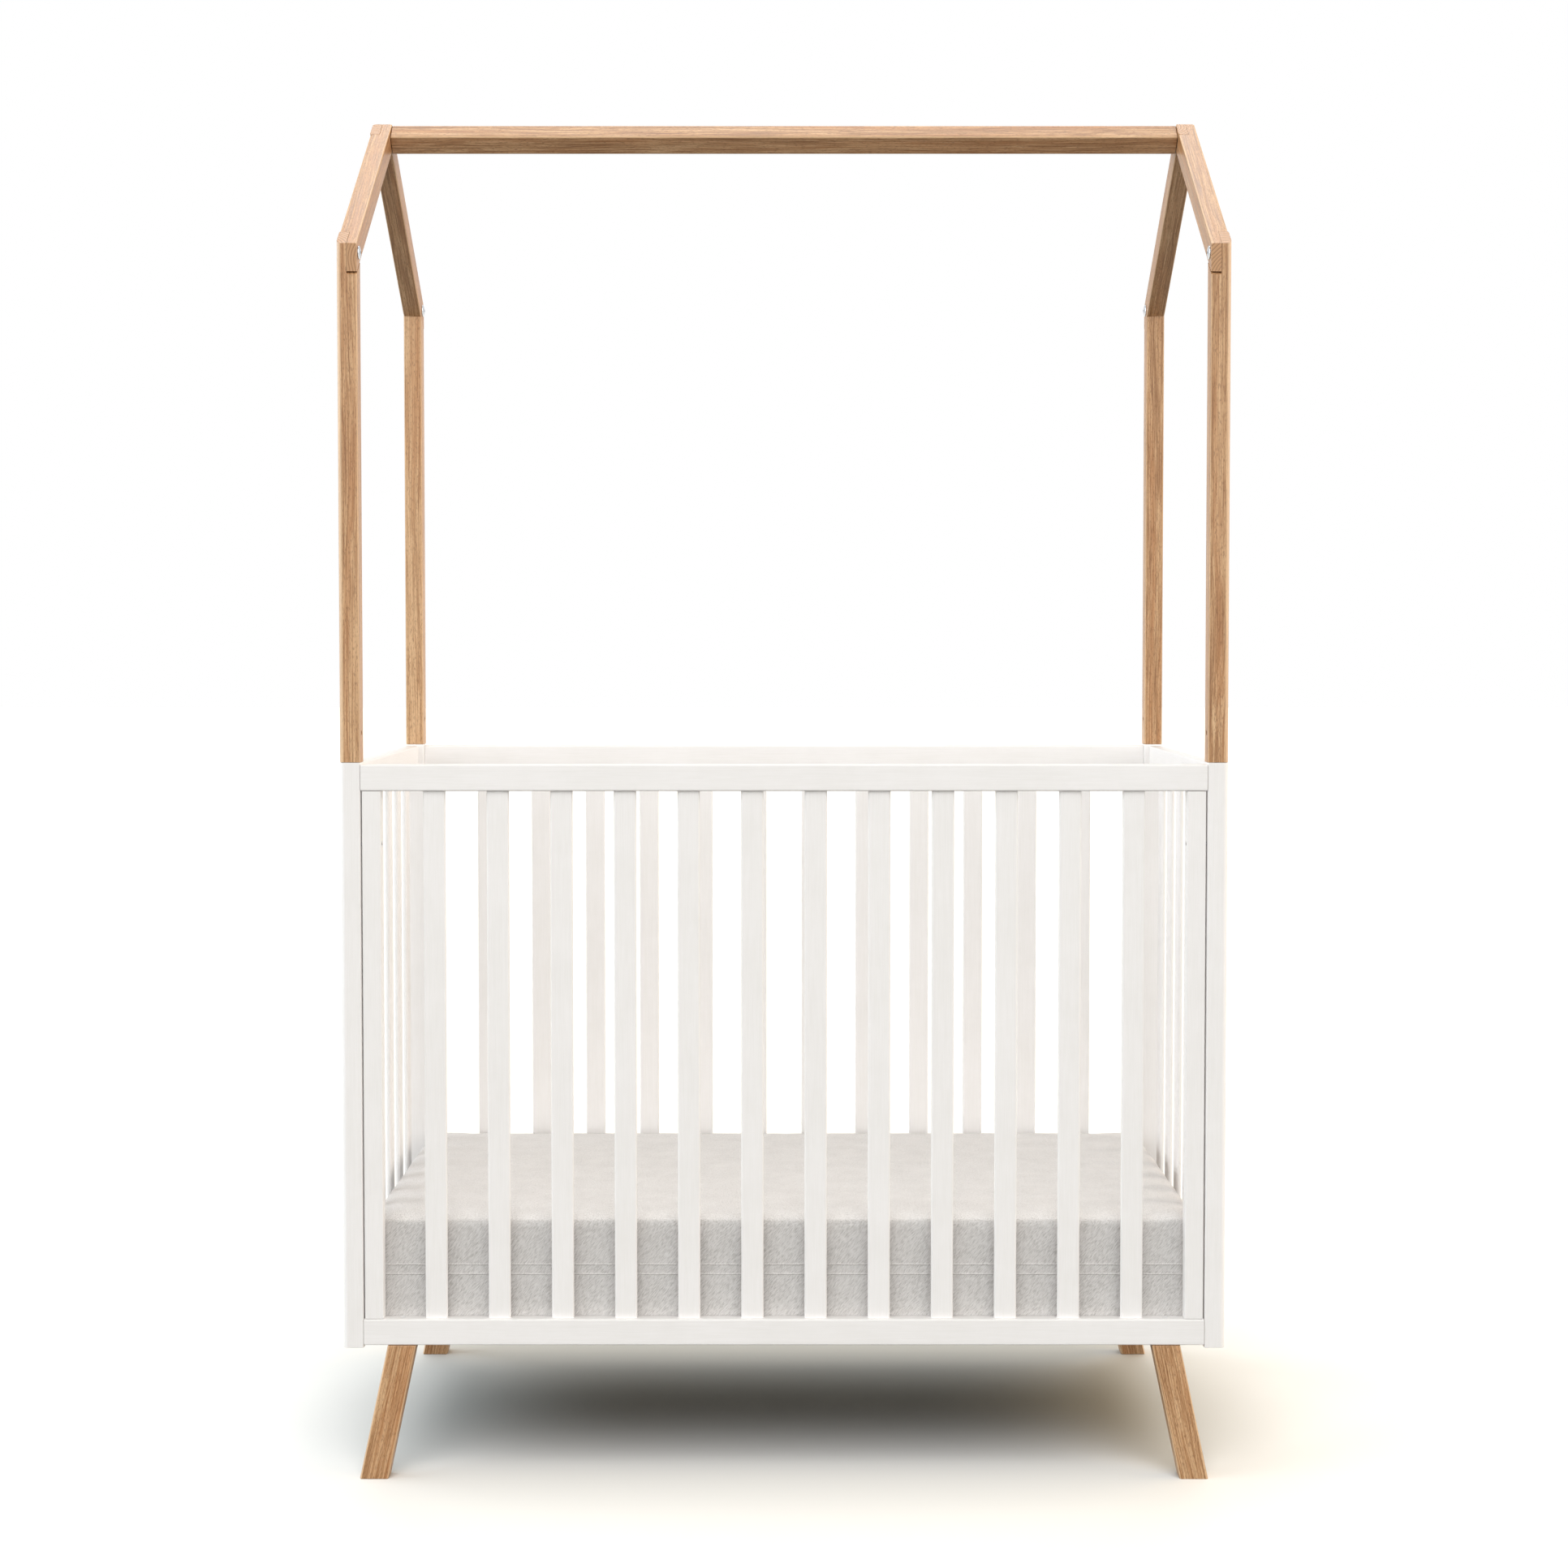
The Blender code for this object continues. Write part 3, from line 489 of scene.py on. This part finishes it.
def metalMaterial(name, metal):
    material, tree = newMaterial(name)
    surface = addNode(tree, "TexCoord").outputs["Object"]
    scuff = noise(tree, surface, 3.0, scuffing["roughness"], 1 / metal["scuffSize"])["Fac"]
    closeMaterial(tree, {
        "Base Color": ramp(tree, scuff, metal, scuffing["tones"]),
        "Roughness": remap(tree, scuff, scuffing["range"], metal["roughness"]),
        "Metallic": 1.0})
    return material


chromePlate = metalMaterial("chromePlatedSteel", chrome)
zincPlate = metalMaterial("zincPlatedSteel", zinc)


def addCylinder(name, radius, low, high, sides=roundSides):  # standing on Z, from low to high
    bpy.ops.object.select_all(action="DESELECT")
    bpy.ops.mesh.primitive_cylinder_add(
        vertices=sides, radius=radius, depth=high - low, location=(0, 0, (low + high) / 2))
    bpy.ops.object.transform_apply(location=True, rotation=True, scale=True)
    piece = bpy.context.object
    piece.name = name
    return piece


def combine(piece, other, operation):
    step = piece.modifiers.new("combine", "BOOLEAN")
    step.operation = operation
    step.solver = "EXACT"
    step.object = other
    applyModifiers(piece)
    bpy.data.objects.remove(other)


edgeSteps = 3   # facets in the rounding of a head or a flange


def bevelTop(piece, height, width):  # rounds every edge that lies at the given height
    bpy.ops.object.mode_set(mode="EDIT")
    selectParts(piece, "EDGE", lambda edge: all(v.co.z > height - touching for v in edge.verts))
    bpy.ops.mesh.bevel(offset=width, segments=edgeSteps)
    bpy.ops.object.mode_set(mode="OBJECT")


def placeCopy(model, name, turn, place, material, node):  # own mesh, its place in the mesh
    piece = model.copy()
    piece.data = model.data.copy()
    piece.name = name
    bpy.context.scene.collection.objects.link(piece)
    piece.data.transform(Matrix.Translation(place) @ Euler(turn).to_matrix().to_4x4())
    setMaterial(piece, material)
    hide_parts(node)
    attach(piece, "frame")
    return piece


crisp = 35   # degrees, sharper edges of the metal stay crisp


def finishModel(piece, angle=crisp):
    selectOnly(piece)
    bpy.ops.object.shade_smooth_by_angle(angle=math.radians(angle))


through = 0.01   # metres a cutter runs on past the piece
shank = {"radius": 0.0030, "tip": 0.0006, "taper": 0.8}
domedHead = {
    "radius": 0.0100,
    "height": 0.0034,
    "rim": 0.0009,
    "rimEase": 0.0003,
    "rimSharp": 50,         # degrees
    "socket": 0.0023,       # radius of the hexagon at its corners
    "socketDepth": 0.0018,
    "rings": 72,
}
plainHead = {"radius": 0.0043, "edge": 0.0005, "socket": 0.0023}
legHead = {"height": 0.0060, "socketDepth": 0.0030}
stileHead = {"height": 0.0030, "socketDepth": 0.0018}


def addShank(piece, headRadius, grip):  # grown down from the flat under the head
    bpy.ops.object.mode_set(mode="EDIT")
    selectParts(piece, "FACE", lambda face: face.normal.z < -nearly)
    bpy.ops.mesh.inset(thickness=headRadius - shank["radius"])
    bpy.ops.mesh.extrude_region_move(TRANSFORM_OT_translate={"value": (0, 0, shank["tip"] - grip)})
    bpy.ops.mesh.extrude_region_move(TRANSFORM_OT_translate={"value": (0, 0, -shank["tip"])})
    bpy.ops.transform.resize(value=(shank["taper"], shank["taper"], 1.0))
    bpy.ops.object.mode_set(mode="OBJECT")


def modelDomedBolt(grip):  # crown of a sphere, rolled over into a rim
    cap = domedHead["height"] - domedHead["rim"]
    sphere = (domedHead["radius"] ** 2 + cap ** 2) / (2 * cap)
    bpy.ops.object.select_all(action="DESELECT")
    bpy.ops.mesh.primitive_uv_sphere_add(
        segments=roundSides, ring_count=domedHead["rings"], radius=sphere,
        location=(0, 0, domedHead["height"] - sphere))
    bpy.ops.object.transform_apply(location=True, rotation=True, scale=True)
    piece = bpy.context.object
    piece.name = "domedBolt"
    bpy.ops.object.mode_set(mode="EDIT")
    bpy.ops.mesh.select_all(action="SELECT")
    bpy.ops.mesh.bisect(
        plane_co=(0, 0, domedHead["rim"]), plane_no=(0, 0, 1), use_fill=True, clear_inner=True)
    selectParts(piece, "FACE", lambda face: face.normal.z < -nearly)
    bpy.ops.mesh.extrude_region_move(TRANSFORM_OT_translate={"value": (0, 0, -domedHead["rim"])})
    bpy.ops.object.mode_set(mode="OBJECT")
    addShank(piece, domedHead["radius"], grip)
    rim = piece.modifiers.new("rim", "BEVEL")
    rim.width, rim.segments = domedHead["rimEase"], edgeSteps
    rim.limit_method, rim.angle_limit = "ANGLE", math.radians(domedHead["rimSharp"])
    applyModifiers(piece)
    socketFloor = domedHead["height"] - domedHead["socketDepth"]
    combine(piece, addCylinder("socket", domedHead["socket"], socketFloor, through, hexagon), "DIFFERENCE")
    finishModel(piece)
    return piece


def modelSocketBolt(head, grip):  # straight sided head for a deep narrow hole
    top, socketFloor = head["height"], head["height"] - head["socketDepth"]
    piece = addCylinder("socketBolt", plainHead["radius"], 0, top)
    bevelTop(piece, top, plainHead["edge"])
    addShank(piece, plainHead["radius"], grip)
    socket = addCylinder("socket", plainHead["socket"], socketFloor, 2 * through, hexagon)
    combine(piece, socket, "DIFFERENCE")
    finishModel(piece)
    return piece


flangeNut = {
    "hexRadius": 0.0058,
    "height": 0.0038,
    "turnedOff": 0.0006,    # the corners, at the top
    "flangeRadius": 0.0085,
    "flange": 0.0012,
    "edge": 0.0005,
    "hole": 0.00305,
}


def modelFlangeNut():  # hexagon with turned corners on a round flange
    radius, height = flangeNut["hexRadius"], flangeNut["height"]
    piece = addCylinder("flangeNut", radius, 0, height, hexagon)
    bpy.ops.object.select_all(action="DESELECT")
    bpy.ops.mesh.primitive_cone_add(
        vertices=roundSides, radius1=radius + height, radius2=radius - flangeNut["turnedOff"],
        depth=height, location=(0, 0, height / 2))
    combine(piece, bpy.context.object, "INTERSECT")
    flange = addCylinder("flange", flangeNut["flangeRadius"], 0, flangeNut["flange"])
    bevelTop(flange, flangeNut["flange"], flangeNut["edge"])
    combine(piece, flange, "UNION")
    combine(piece, addCylinder("hole", flangeNut["hole"], -through, through), "DIFFERENCE")
    finishModel(piece)
    return piece


crossNut = {
    "radius": 0.0033,
    "length": 0.0180,
    "edge": 0.0003,
    "edgeSteps": 2,
    "bore": 0.0022,
    "slotWidth": 0.0010,
    "slotDepth": 0.0012,
}


def modelCrossNut():  # barrel with a screwdriver slot in the end that shows, bored across for the rod
    half = crossNut["length"] / 2
    piece = addCylinder("crossNut", crossNut["radius"], -half, half)
    bpy.ops.object.mode_set(mode="EDIT")
    selectParts(piece, "EDGE", lambda edge: abs(edgeRun(edge).z) < 1 - nearly)
    bpy.ops.mesh.bevel(offset=crossNut["edge"], segments=crossNut["edgeSteps"])
    bpy.ops.object.mode_set(mode="OBJECT")
    bore = addCylinder("bore", crossNut["bore"], -through, through)
    bore.data.transform(Matrix.Rotation(math.pi / 2, 4, "Y"))
    combine(piece, bore, "DIFFERENCE")
    bpy.ops.object.select_all(action="DESELECT")
    bpy.ops.mesh.primitive_cube_add(size=1, location=(0, 0, half), scale=(
        through, crossNut["slotWidth"], 2 * crossNut["slotDepth"]))
    combine(piece, bpy.context.object, "DIFFERENCE")
    finishModel(piece)
    return piece


def endsOf(node):  # how far from the crib's middle the node begins and ends
    return sorted(abs(place.x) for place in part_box(node))


def gripOf(node, axis, headHeight):  # length below the head
    low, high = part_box(node)
    return high[axis] - low[axis] - headHeight


def addFastenings():
    dome = domedHead["height"]
    eaveBolt = modelDomedBolt(gripOf("eave_bolt_front_left", 0, dome))
    ridgeBolt = modelDomedBolt(gripOf("ridge_bolt_left", 0, dome))
    legBolt = modelSocketBolt(legHead, gripOf("leg_bolt_front_left", 2, legHead["height"]))
    stileBolt = modelSocketBolt(stileHead, gripOf("stile_bolt_front_left", 0, stileHead["height"]))
    flangedNut, barrelNut = modelFlangeNut(), modelCrossNut()
    for corner, (side, end) in corners.items():
        inward, outward = (0, -side * math.pi / 2, 0), (0, side * math.pi / 2, 0)
        node = f"eave_bolt_{corner}"
        seat = (side * (endsOf(node)[0] + dome), *middle(node).yz)
        placeCopy(eaveBolt, f"eaveBolt_{corner}", inward, seat, chromePlate, node)
        node = f"eave_nut_{corner}"
        seat = (side * endsOf(node)[0], *middle(node).yz)
        placeCopy(flangedNut, f"eaveNut_{corner}", outward, seat, zincPlate, node)
        node = f"connector_nut_{corner}"
        placeCopy(barrelNut, f"connectorNut_{corner}", inward, middle(node), zincPlate, node)
        node = f"leg_bolt_{corner}"
        seat = (*middle(node).xy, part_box(node)[1].z - legHead["height"])
        placeCopy(legBolt, f"legBolt_{corner}", (0, 0, 0), seat, chromePlate, node)
        node = f"stile_bolt_{corner}"
        seat = (side * (endsOf(node)[0] + stileHead["height"]), *middle(node).yz)
        placeCopy(stileBolt, f"stileBolt_{corner}", inward, seat, chromePlate, node)
        setMaterial(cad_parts[f"connector_rod_{corner}"], zincPlate)
    for side, word in ((-1, "left"), (1, "right")):
        node = f"ridge_bolt_{word}"
        seat = (side * (endsOf(node)[1] - dome), *middle(node).yz)
        turn = (0, side * math.pi / 2, 0)
        placeCopy(ridgeBolt, f"ridgeBolt_{word}", turn, seat, chromePlate, node)
    for model in (eaveBolt, ridgeBolt, legBolt, stileBolt, flangedNut, barrelNut):
        bpy.data.objects.remove(model)


addFastenings()
print("fastenings placed")


# heathered knit cover: pale grey yarn spun from light and dark fibres, matt, with a soft nap
knit = {
    "pale": "#ece9e7",
    "main": "#dfdbd9",
    "dark": "#bfbbb8",
    "tones": {"dark": 0.38, "main": 0.50, "pale": 0.62},
    "sideShade": "#f1f1f1",      # painted shade: the sides darkened, standing for the shadow the slats cast on them
    "sideShadeRange": (0.75, 0.45),   # how level the cloth lies where the painted shade begins, and where it is full
    "speckWidth": 0.0009,
    "speckLength": 0.0070,
    "speckTurn": 50,          # degrees the specks lean
    "speckRoughness": 0.65,
    "speckShare": 0.88,       # what specks and clouds give to the tone
    "cloudShare": 0.12,
    "cloudScale": 26.0,       # per metre
    "loopWidth": 0.0024,      # real loops are near 1 mm, drawn coarser so that they show
    "loopShare": 0.25,        # height of the loops beside that of the specks
    "bump": 0.0007,
    "bumpStrength": 0.6,
    "roughness": (0.82, 0.98),
    "sheen": 0.25,
    "sheenRoughness": 0.5,
}

mattress = {
    "ease": (0.006, 0.0105),  # starts this much wider all round, the cloth draws the sides in
    "loft": 0.005,            # and this much higher
    "lip": 0.0011,            # the long sides lie flat and hang this far outside the base
    "hem": 0.0042,            # and this far down over its edge
    "clear": 0.0002,          # left between the cover and the base
    "corner": 0.030,
    "cornerSteps": 8,
    "topEdge": 0.014,
    "topSteps": 6,
    "spare": 0.012,           # made this much too deep, then cut flat
    "voxel": 0.009,
    "pressure": 4.0,
    "steps": 20,
    "swell": 0.006,
    "smooth": 60,             # degrees, sharper edges stay crisp
    "seams": (0.292, 0.306),  # heights of the two seams
    "pipingRadius": 0.0012,
    "pipingSteps": 2,
}


def knitMaterial():
    material, tree = newMaterial("heatheredKnit")
    place = addNode(tree, "TexCoord").outputs
    surface = place["Object"]
    speckScale = (1 / knit["speckLength"], 1 / knit["speckWidth"], 1 / knit["speckWidth"])
    leaned = mapSpace(tree, surface, Rotation=(0, math.radians(knit["speckTurn"]), 0))
    speck = noise(tree, mapSpace(tree, leaned, Scale=speckScale), 3.0, knit["speckRoughness"])["Fac"]
    cloud = noise(tree, surface, 3.0, scale=knit["cloudScale"])["Fac"]
    cloudPart = compute(tree, "MULTIPLY", cloud, knit["cloudShare"])
    tone = compute(tree, "MULTIPLY_ADD", speck, knit["speckShare"], cloudPart)
    colour = ramp(tree, tone, knit, knit["tones"])
    # the sides of the cover get painted shade, darker colour for the slats' shadow
    upright = addNode(tree, "SeparateXYZ", inputs={"Vector": place["Normal"]}).outputs["Z"]
    onSides = remap(tree, compute(tree, "ABSOLUTE", upright), knit["sideShadeRange"])
    sideShaded = mixColours(tree, onSides, colour, linear(knit["sideShade"]), "MULTIPLY")

    # rows of loops: two crossing waves that show on the top and on every side
    turnsPerMetre = 2 * math.pi / knit["loopWidth"]
    axes = addNode(tree, "SeparateXYZ", inputs={"Vector": surface}).outputs
    waves = []
    for operation, axis in (("ADD", "X"), ("SUBTRACT", "Y")):
        spot = compute(tree, operation, axes[axis], axes["Z"])
        waves.append(compute(tree, "SINE", compute(tree, "MULTIPLY", spot, turnsPerMetre)))
    loops = compute(tree, "MULTIPLY", *waves)
    relief = compute(tree, "MULTIPLY_ADD", loops, knit["loopShare"], speck)
    closeMaterial(tree, {
        "Base Color": sideShaded,
        "Roughness": remap(tree, speck, wanted=knit["roughness"]),
        "Normal": addBump(tree, relief, knit["bumpStrength"], knit["bump"]),
        "Sheen Weight": knit["sheen"],
        "Sheen Roughness": knit["sheenRoughness"]})
    return material


def swellPad(pad):  # stuffs the cover with air, then holds every point near where it began
    scene = bpy.context.scene
    start = [vertex.co.copy() for vertex in pad.data.vertices]
    cloth = pad.modifiers.new("cover", "CLOTH")
    cloth.settings.use_pressure = True
    cloth.settings.uniform_pressure_force = mattress["pressure"]
    cloth.settings.effector_weights.gravity = 0
    for step in range(mattress["steps"]):
        scene.frame_set(step + 1)
    applyModifiers(pad)
    scene.frame_set(1)
    for vertex, place in zip(pad.data.vertices, start):
        move = vertex.co - place
        if move.length > mattress["swell"]:
            vertex.co = place + move * (mattress["swell"] / move.length)


def modelPad():
    low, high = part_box("mattress")
    low = low - Vector((*mattress["ease"], mattress["spare"]))
    high = high + Vector((*mattress["ease"], mattress["loft"]))
    bpy.ops.object.select_all(action="DESELECT")
    bpy.ops.mesh.primitive_cube_add(size=1, location=(low + high) / 2, scale=high - low)
    bpy.ops.object.transform_apply(location=True, rotation=True, scale=True)
    pad = bpy.context.object
    pad.name = "mattressPad"
    bpy.ops.object.mode_set(mode="EDIT")
    selectParts(pad, "EDGE", lambda edge: abs(edgeRun(edge).z) > nearly)
    bpy.ops.mesh.bevel(offset=mattress["corner"], segments=mattress["cornerSteps"])
    selectParts(pad, "EDGE", lambda edge: all(v.co.z > high.z - touching for v in edge.verts))
    bpy.ops.mesh.bevel(offset=mattress["topEdge"], segments=mattress["topSteps"])
    bpy.ops.object.mode_set(mode="OBJECT")
    remesh = pad.modifiers.new("even", "REMESH")
    remesh.mode = "VOXEL"
    remesh.voxel_size = mattress["voxel"]
    applyModifiers(pad)
    swellPad(pad)
    finer = pad.modifiers.new("finer", "SUBSURF")
    finer.levels = finer.render_levels = 1
    applyModifiers(pad)
    return pad


def layOnBase(pad):  # flat underneath, with a lip that hangs over the long edges of the base
    baseLow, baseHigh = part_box("slatted_base")
    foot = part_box("mattress")[0].z + mattress["clear"]
    hem = baseHigh.z - mattress["hem"]
    reach = baseHigh.y + mattress["lip"]
    bpy.ops.object.mode_set(mode="EDIT")
    bpy.ops.mesh.select_all(action="SELECT")
    bpy.ops.mesh.bisect(plane_co=(0, 0, hem), plane_no=(0, 0, 1), use_fill=True, clear_inner=True)
    bpy.ops.object.mode_set(mode="OBJECT")
    for vertex in pad.data.vertices:
        vertex.co.y = max(-reach, min(reach, vertex.co.y))
    bpy.ops.object.select_all(action="DESELECT")
    bpy.ops.mesh.primitive_cube_add(size=1, location=(0, 0, foot - through), scale=(
        baseHigh.x - baseLow.x + 2 * mattress["clear"], baseHigh.y - baseLow.y + 2 * mattress["clear"],
        2 * through))
    combine(pad, bpy.context.object, "DIFFERENCE")
    finishModel(pad, mattress["smooth"])
    setMaterial(pad, knitMaterial())


def addPiping(pad, name, height):  # thin sewn cord all round the cover
    piping = pad.copy()
    piping.data = pad.data.copy()
    piping.name = name
    bpy.context.scene.collection.objects.link(piping)
    selectOnly(piping)
    bpy.ops.object.mode_set(mode="EDIT")
    bpy.ops.mesh.select_all(action="SELECT")
    bpy.ops.mesh.bisect(
        plane_co=(0, 0, height), plane_no=(0, 0, 1), clear_inner=True, clear_outer=True)
    bpy.ops.object.mode_set(mode="OBJECT")
    bpy.ops.object.convert(target="CURVE")
    piping = bpy.context.object
    piping.data.bevel_depth = mattress["pipingRadius"]
    piping.data.bevel_resolution = mattress["pipingSteps"]
    bpy.ops.object.convert(target="MESH")
    piping = bpy.context.object
    piping.data.shade_smooth()
    setMaterial(piping, pad.data.materials[0])
    return piping


pad = modelPad()
layOnBase(pad)
pipings = [
    addPiping(pad, f"mattressPiping{number}", height) for number, height in enumerate(mattress["seams"], 1)]
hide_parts("mattress")
for piece in (pad, *pipings):
    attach(piece, "mattress")
print("mattress made")


# soft even light. The crib has a very broad lamp in front, one overhead, one on each side and a rim lamp
# beyond each end that lights its arrises; the floor has lamps of its own, so the shadow stays a soft pool
studio = {
    "cribLamps": [
        # name, azimuth from the front, elevation, spread in degrees, strength, tint
        ("frontLamp", 0, 18, 90, 0.78, "#fdffff"),
        ("overheadLamp", 180, 66, 36, 0.38, "#fffdfb"),
        ("leftLamp", -62, 14, 50, 0.38, "#f8fcff"),
        ("rightLamp", 62, 14, 50, 0.36, "#fff8f0"),
        ("leftRimLamp", -95, 12, 30, 0.52, "#f2f9ff"),
        ("rightRimLamp", 95, 12, 30, 0.48, "#fff1e2"),
    ],
    "floorLamps": [
        ("floorFrontLamp", 0, 50, 50, 0.92, "#fffefc"),
        ("floorRearLamp", 180, 50, 50, 0.44, "#fffff9"),
        ("floorLeftLamp", -90, 50, 50, 0.49, "#f0fbff"),
        ("floorRightLamp", 90, 50, 50, 0.41, "#ffe2b4"),
    ],
    "sky": 0.14,
    "skyTint": "#fdf6dc",
    "floorSize": 80,
    "floorWhite": 0.70,     # what the camera sees
    "floorGrey": 0.05,      # what the object gets back from it
}


def addLamps(lamps, linked, state):  # state says whether they light the floor alone, or all but the floor
    for name, azimuth, elevation, spread, strength, tint in lamps:
        data = bpy.data.lights.new(name, "SUN")
        data.energy = strength * math.pi
        data.angle = math.radians(spread)
        data.color = linear(tint)[:3]
        lamp = bpy.data.objects.new(name, data)
        lamp.rotation_euler = (math.radians(90 - elevation), 0, math.radians(azimuth))
        lamp.light_linking.receiver_collection = linked
        bpy.context.scene.collection.objects.link(lamp)
    linked.collection_objects[0].light_linking.link_state = state


def mixForEye(tree, given, shown):  # shown to the camera, in mirrors and through glass, given to the rest
    rays = addNode(tree, "LightPath").outputs
    direct = compute(tree, "MAXIMUM", rays["Is Camera Ray"], rays["Is Glossy Ray"])
    seen = compute(tree, "MAXIMUM", direct, rays["Is Transmission Ray"])
    return addNode(tree, "MixShader", inputs={
        0: seen, 1: given.outputs[0], 2: shown.outputs[0]}).outputs[0]


def addSky():
    world = bpy.data.worlds.new("studio")
    bpy.context.scene.world = world
    world.use_nodes = True
    tree = world.node_tree
    tree.nodes.clear()
    ambient = addNode(tree, "Background", inputs={
        "Color": linear(studio["skyTint"]), "Strength": studio["sky"]})
    white = addNode(tree, "Background", inputs={"Color": (1, 1, 1, 1), "Strength": 1.0})
    addNode(tree, "OutputWorld", inputs={"Surface": mixForEye(tree, ambient, white)})


def addFloor():
    bpy.ops.object.select_all(action="DESELECT")
    bpy.ops.mesh.primitive_plane_add(size=studio["floorSize"])
    floor = bpy.context.object
    floor.name = "floor"
    material, tree = newMaterial("paleFloor")
    grey, white = [
        addNode(tree, "BsdfDiffuse", inputs={"Color": (tone, tone, tone, 1)})
        for tone in (studio["floorGrey"], studio["floorWhite"])]
    addNode(tree, "OutputMaterial", inputs={"Surface": mixForEye(tree, grey, white)})
    setMaterial(floor, material)
    return floor


floor = addFloor()
for lamps, name, state in (("cribLamps", "notTheFloor", "EXCLUDE"), ("floorLamps", "theFloor", "INCLUDE")):
    linked = bpy.data.collections.new(name)
    linked.objects.link(floor)
    addLamps(studio[lamps], linked, state)
addSky()
bpy.context.scene.view_settings.view_transform = "Standard"
print("studio lit")
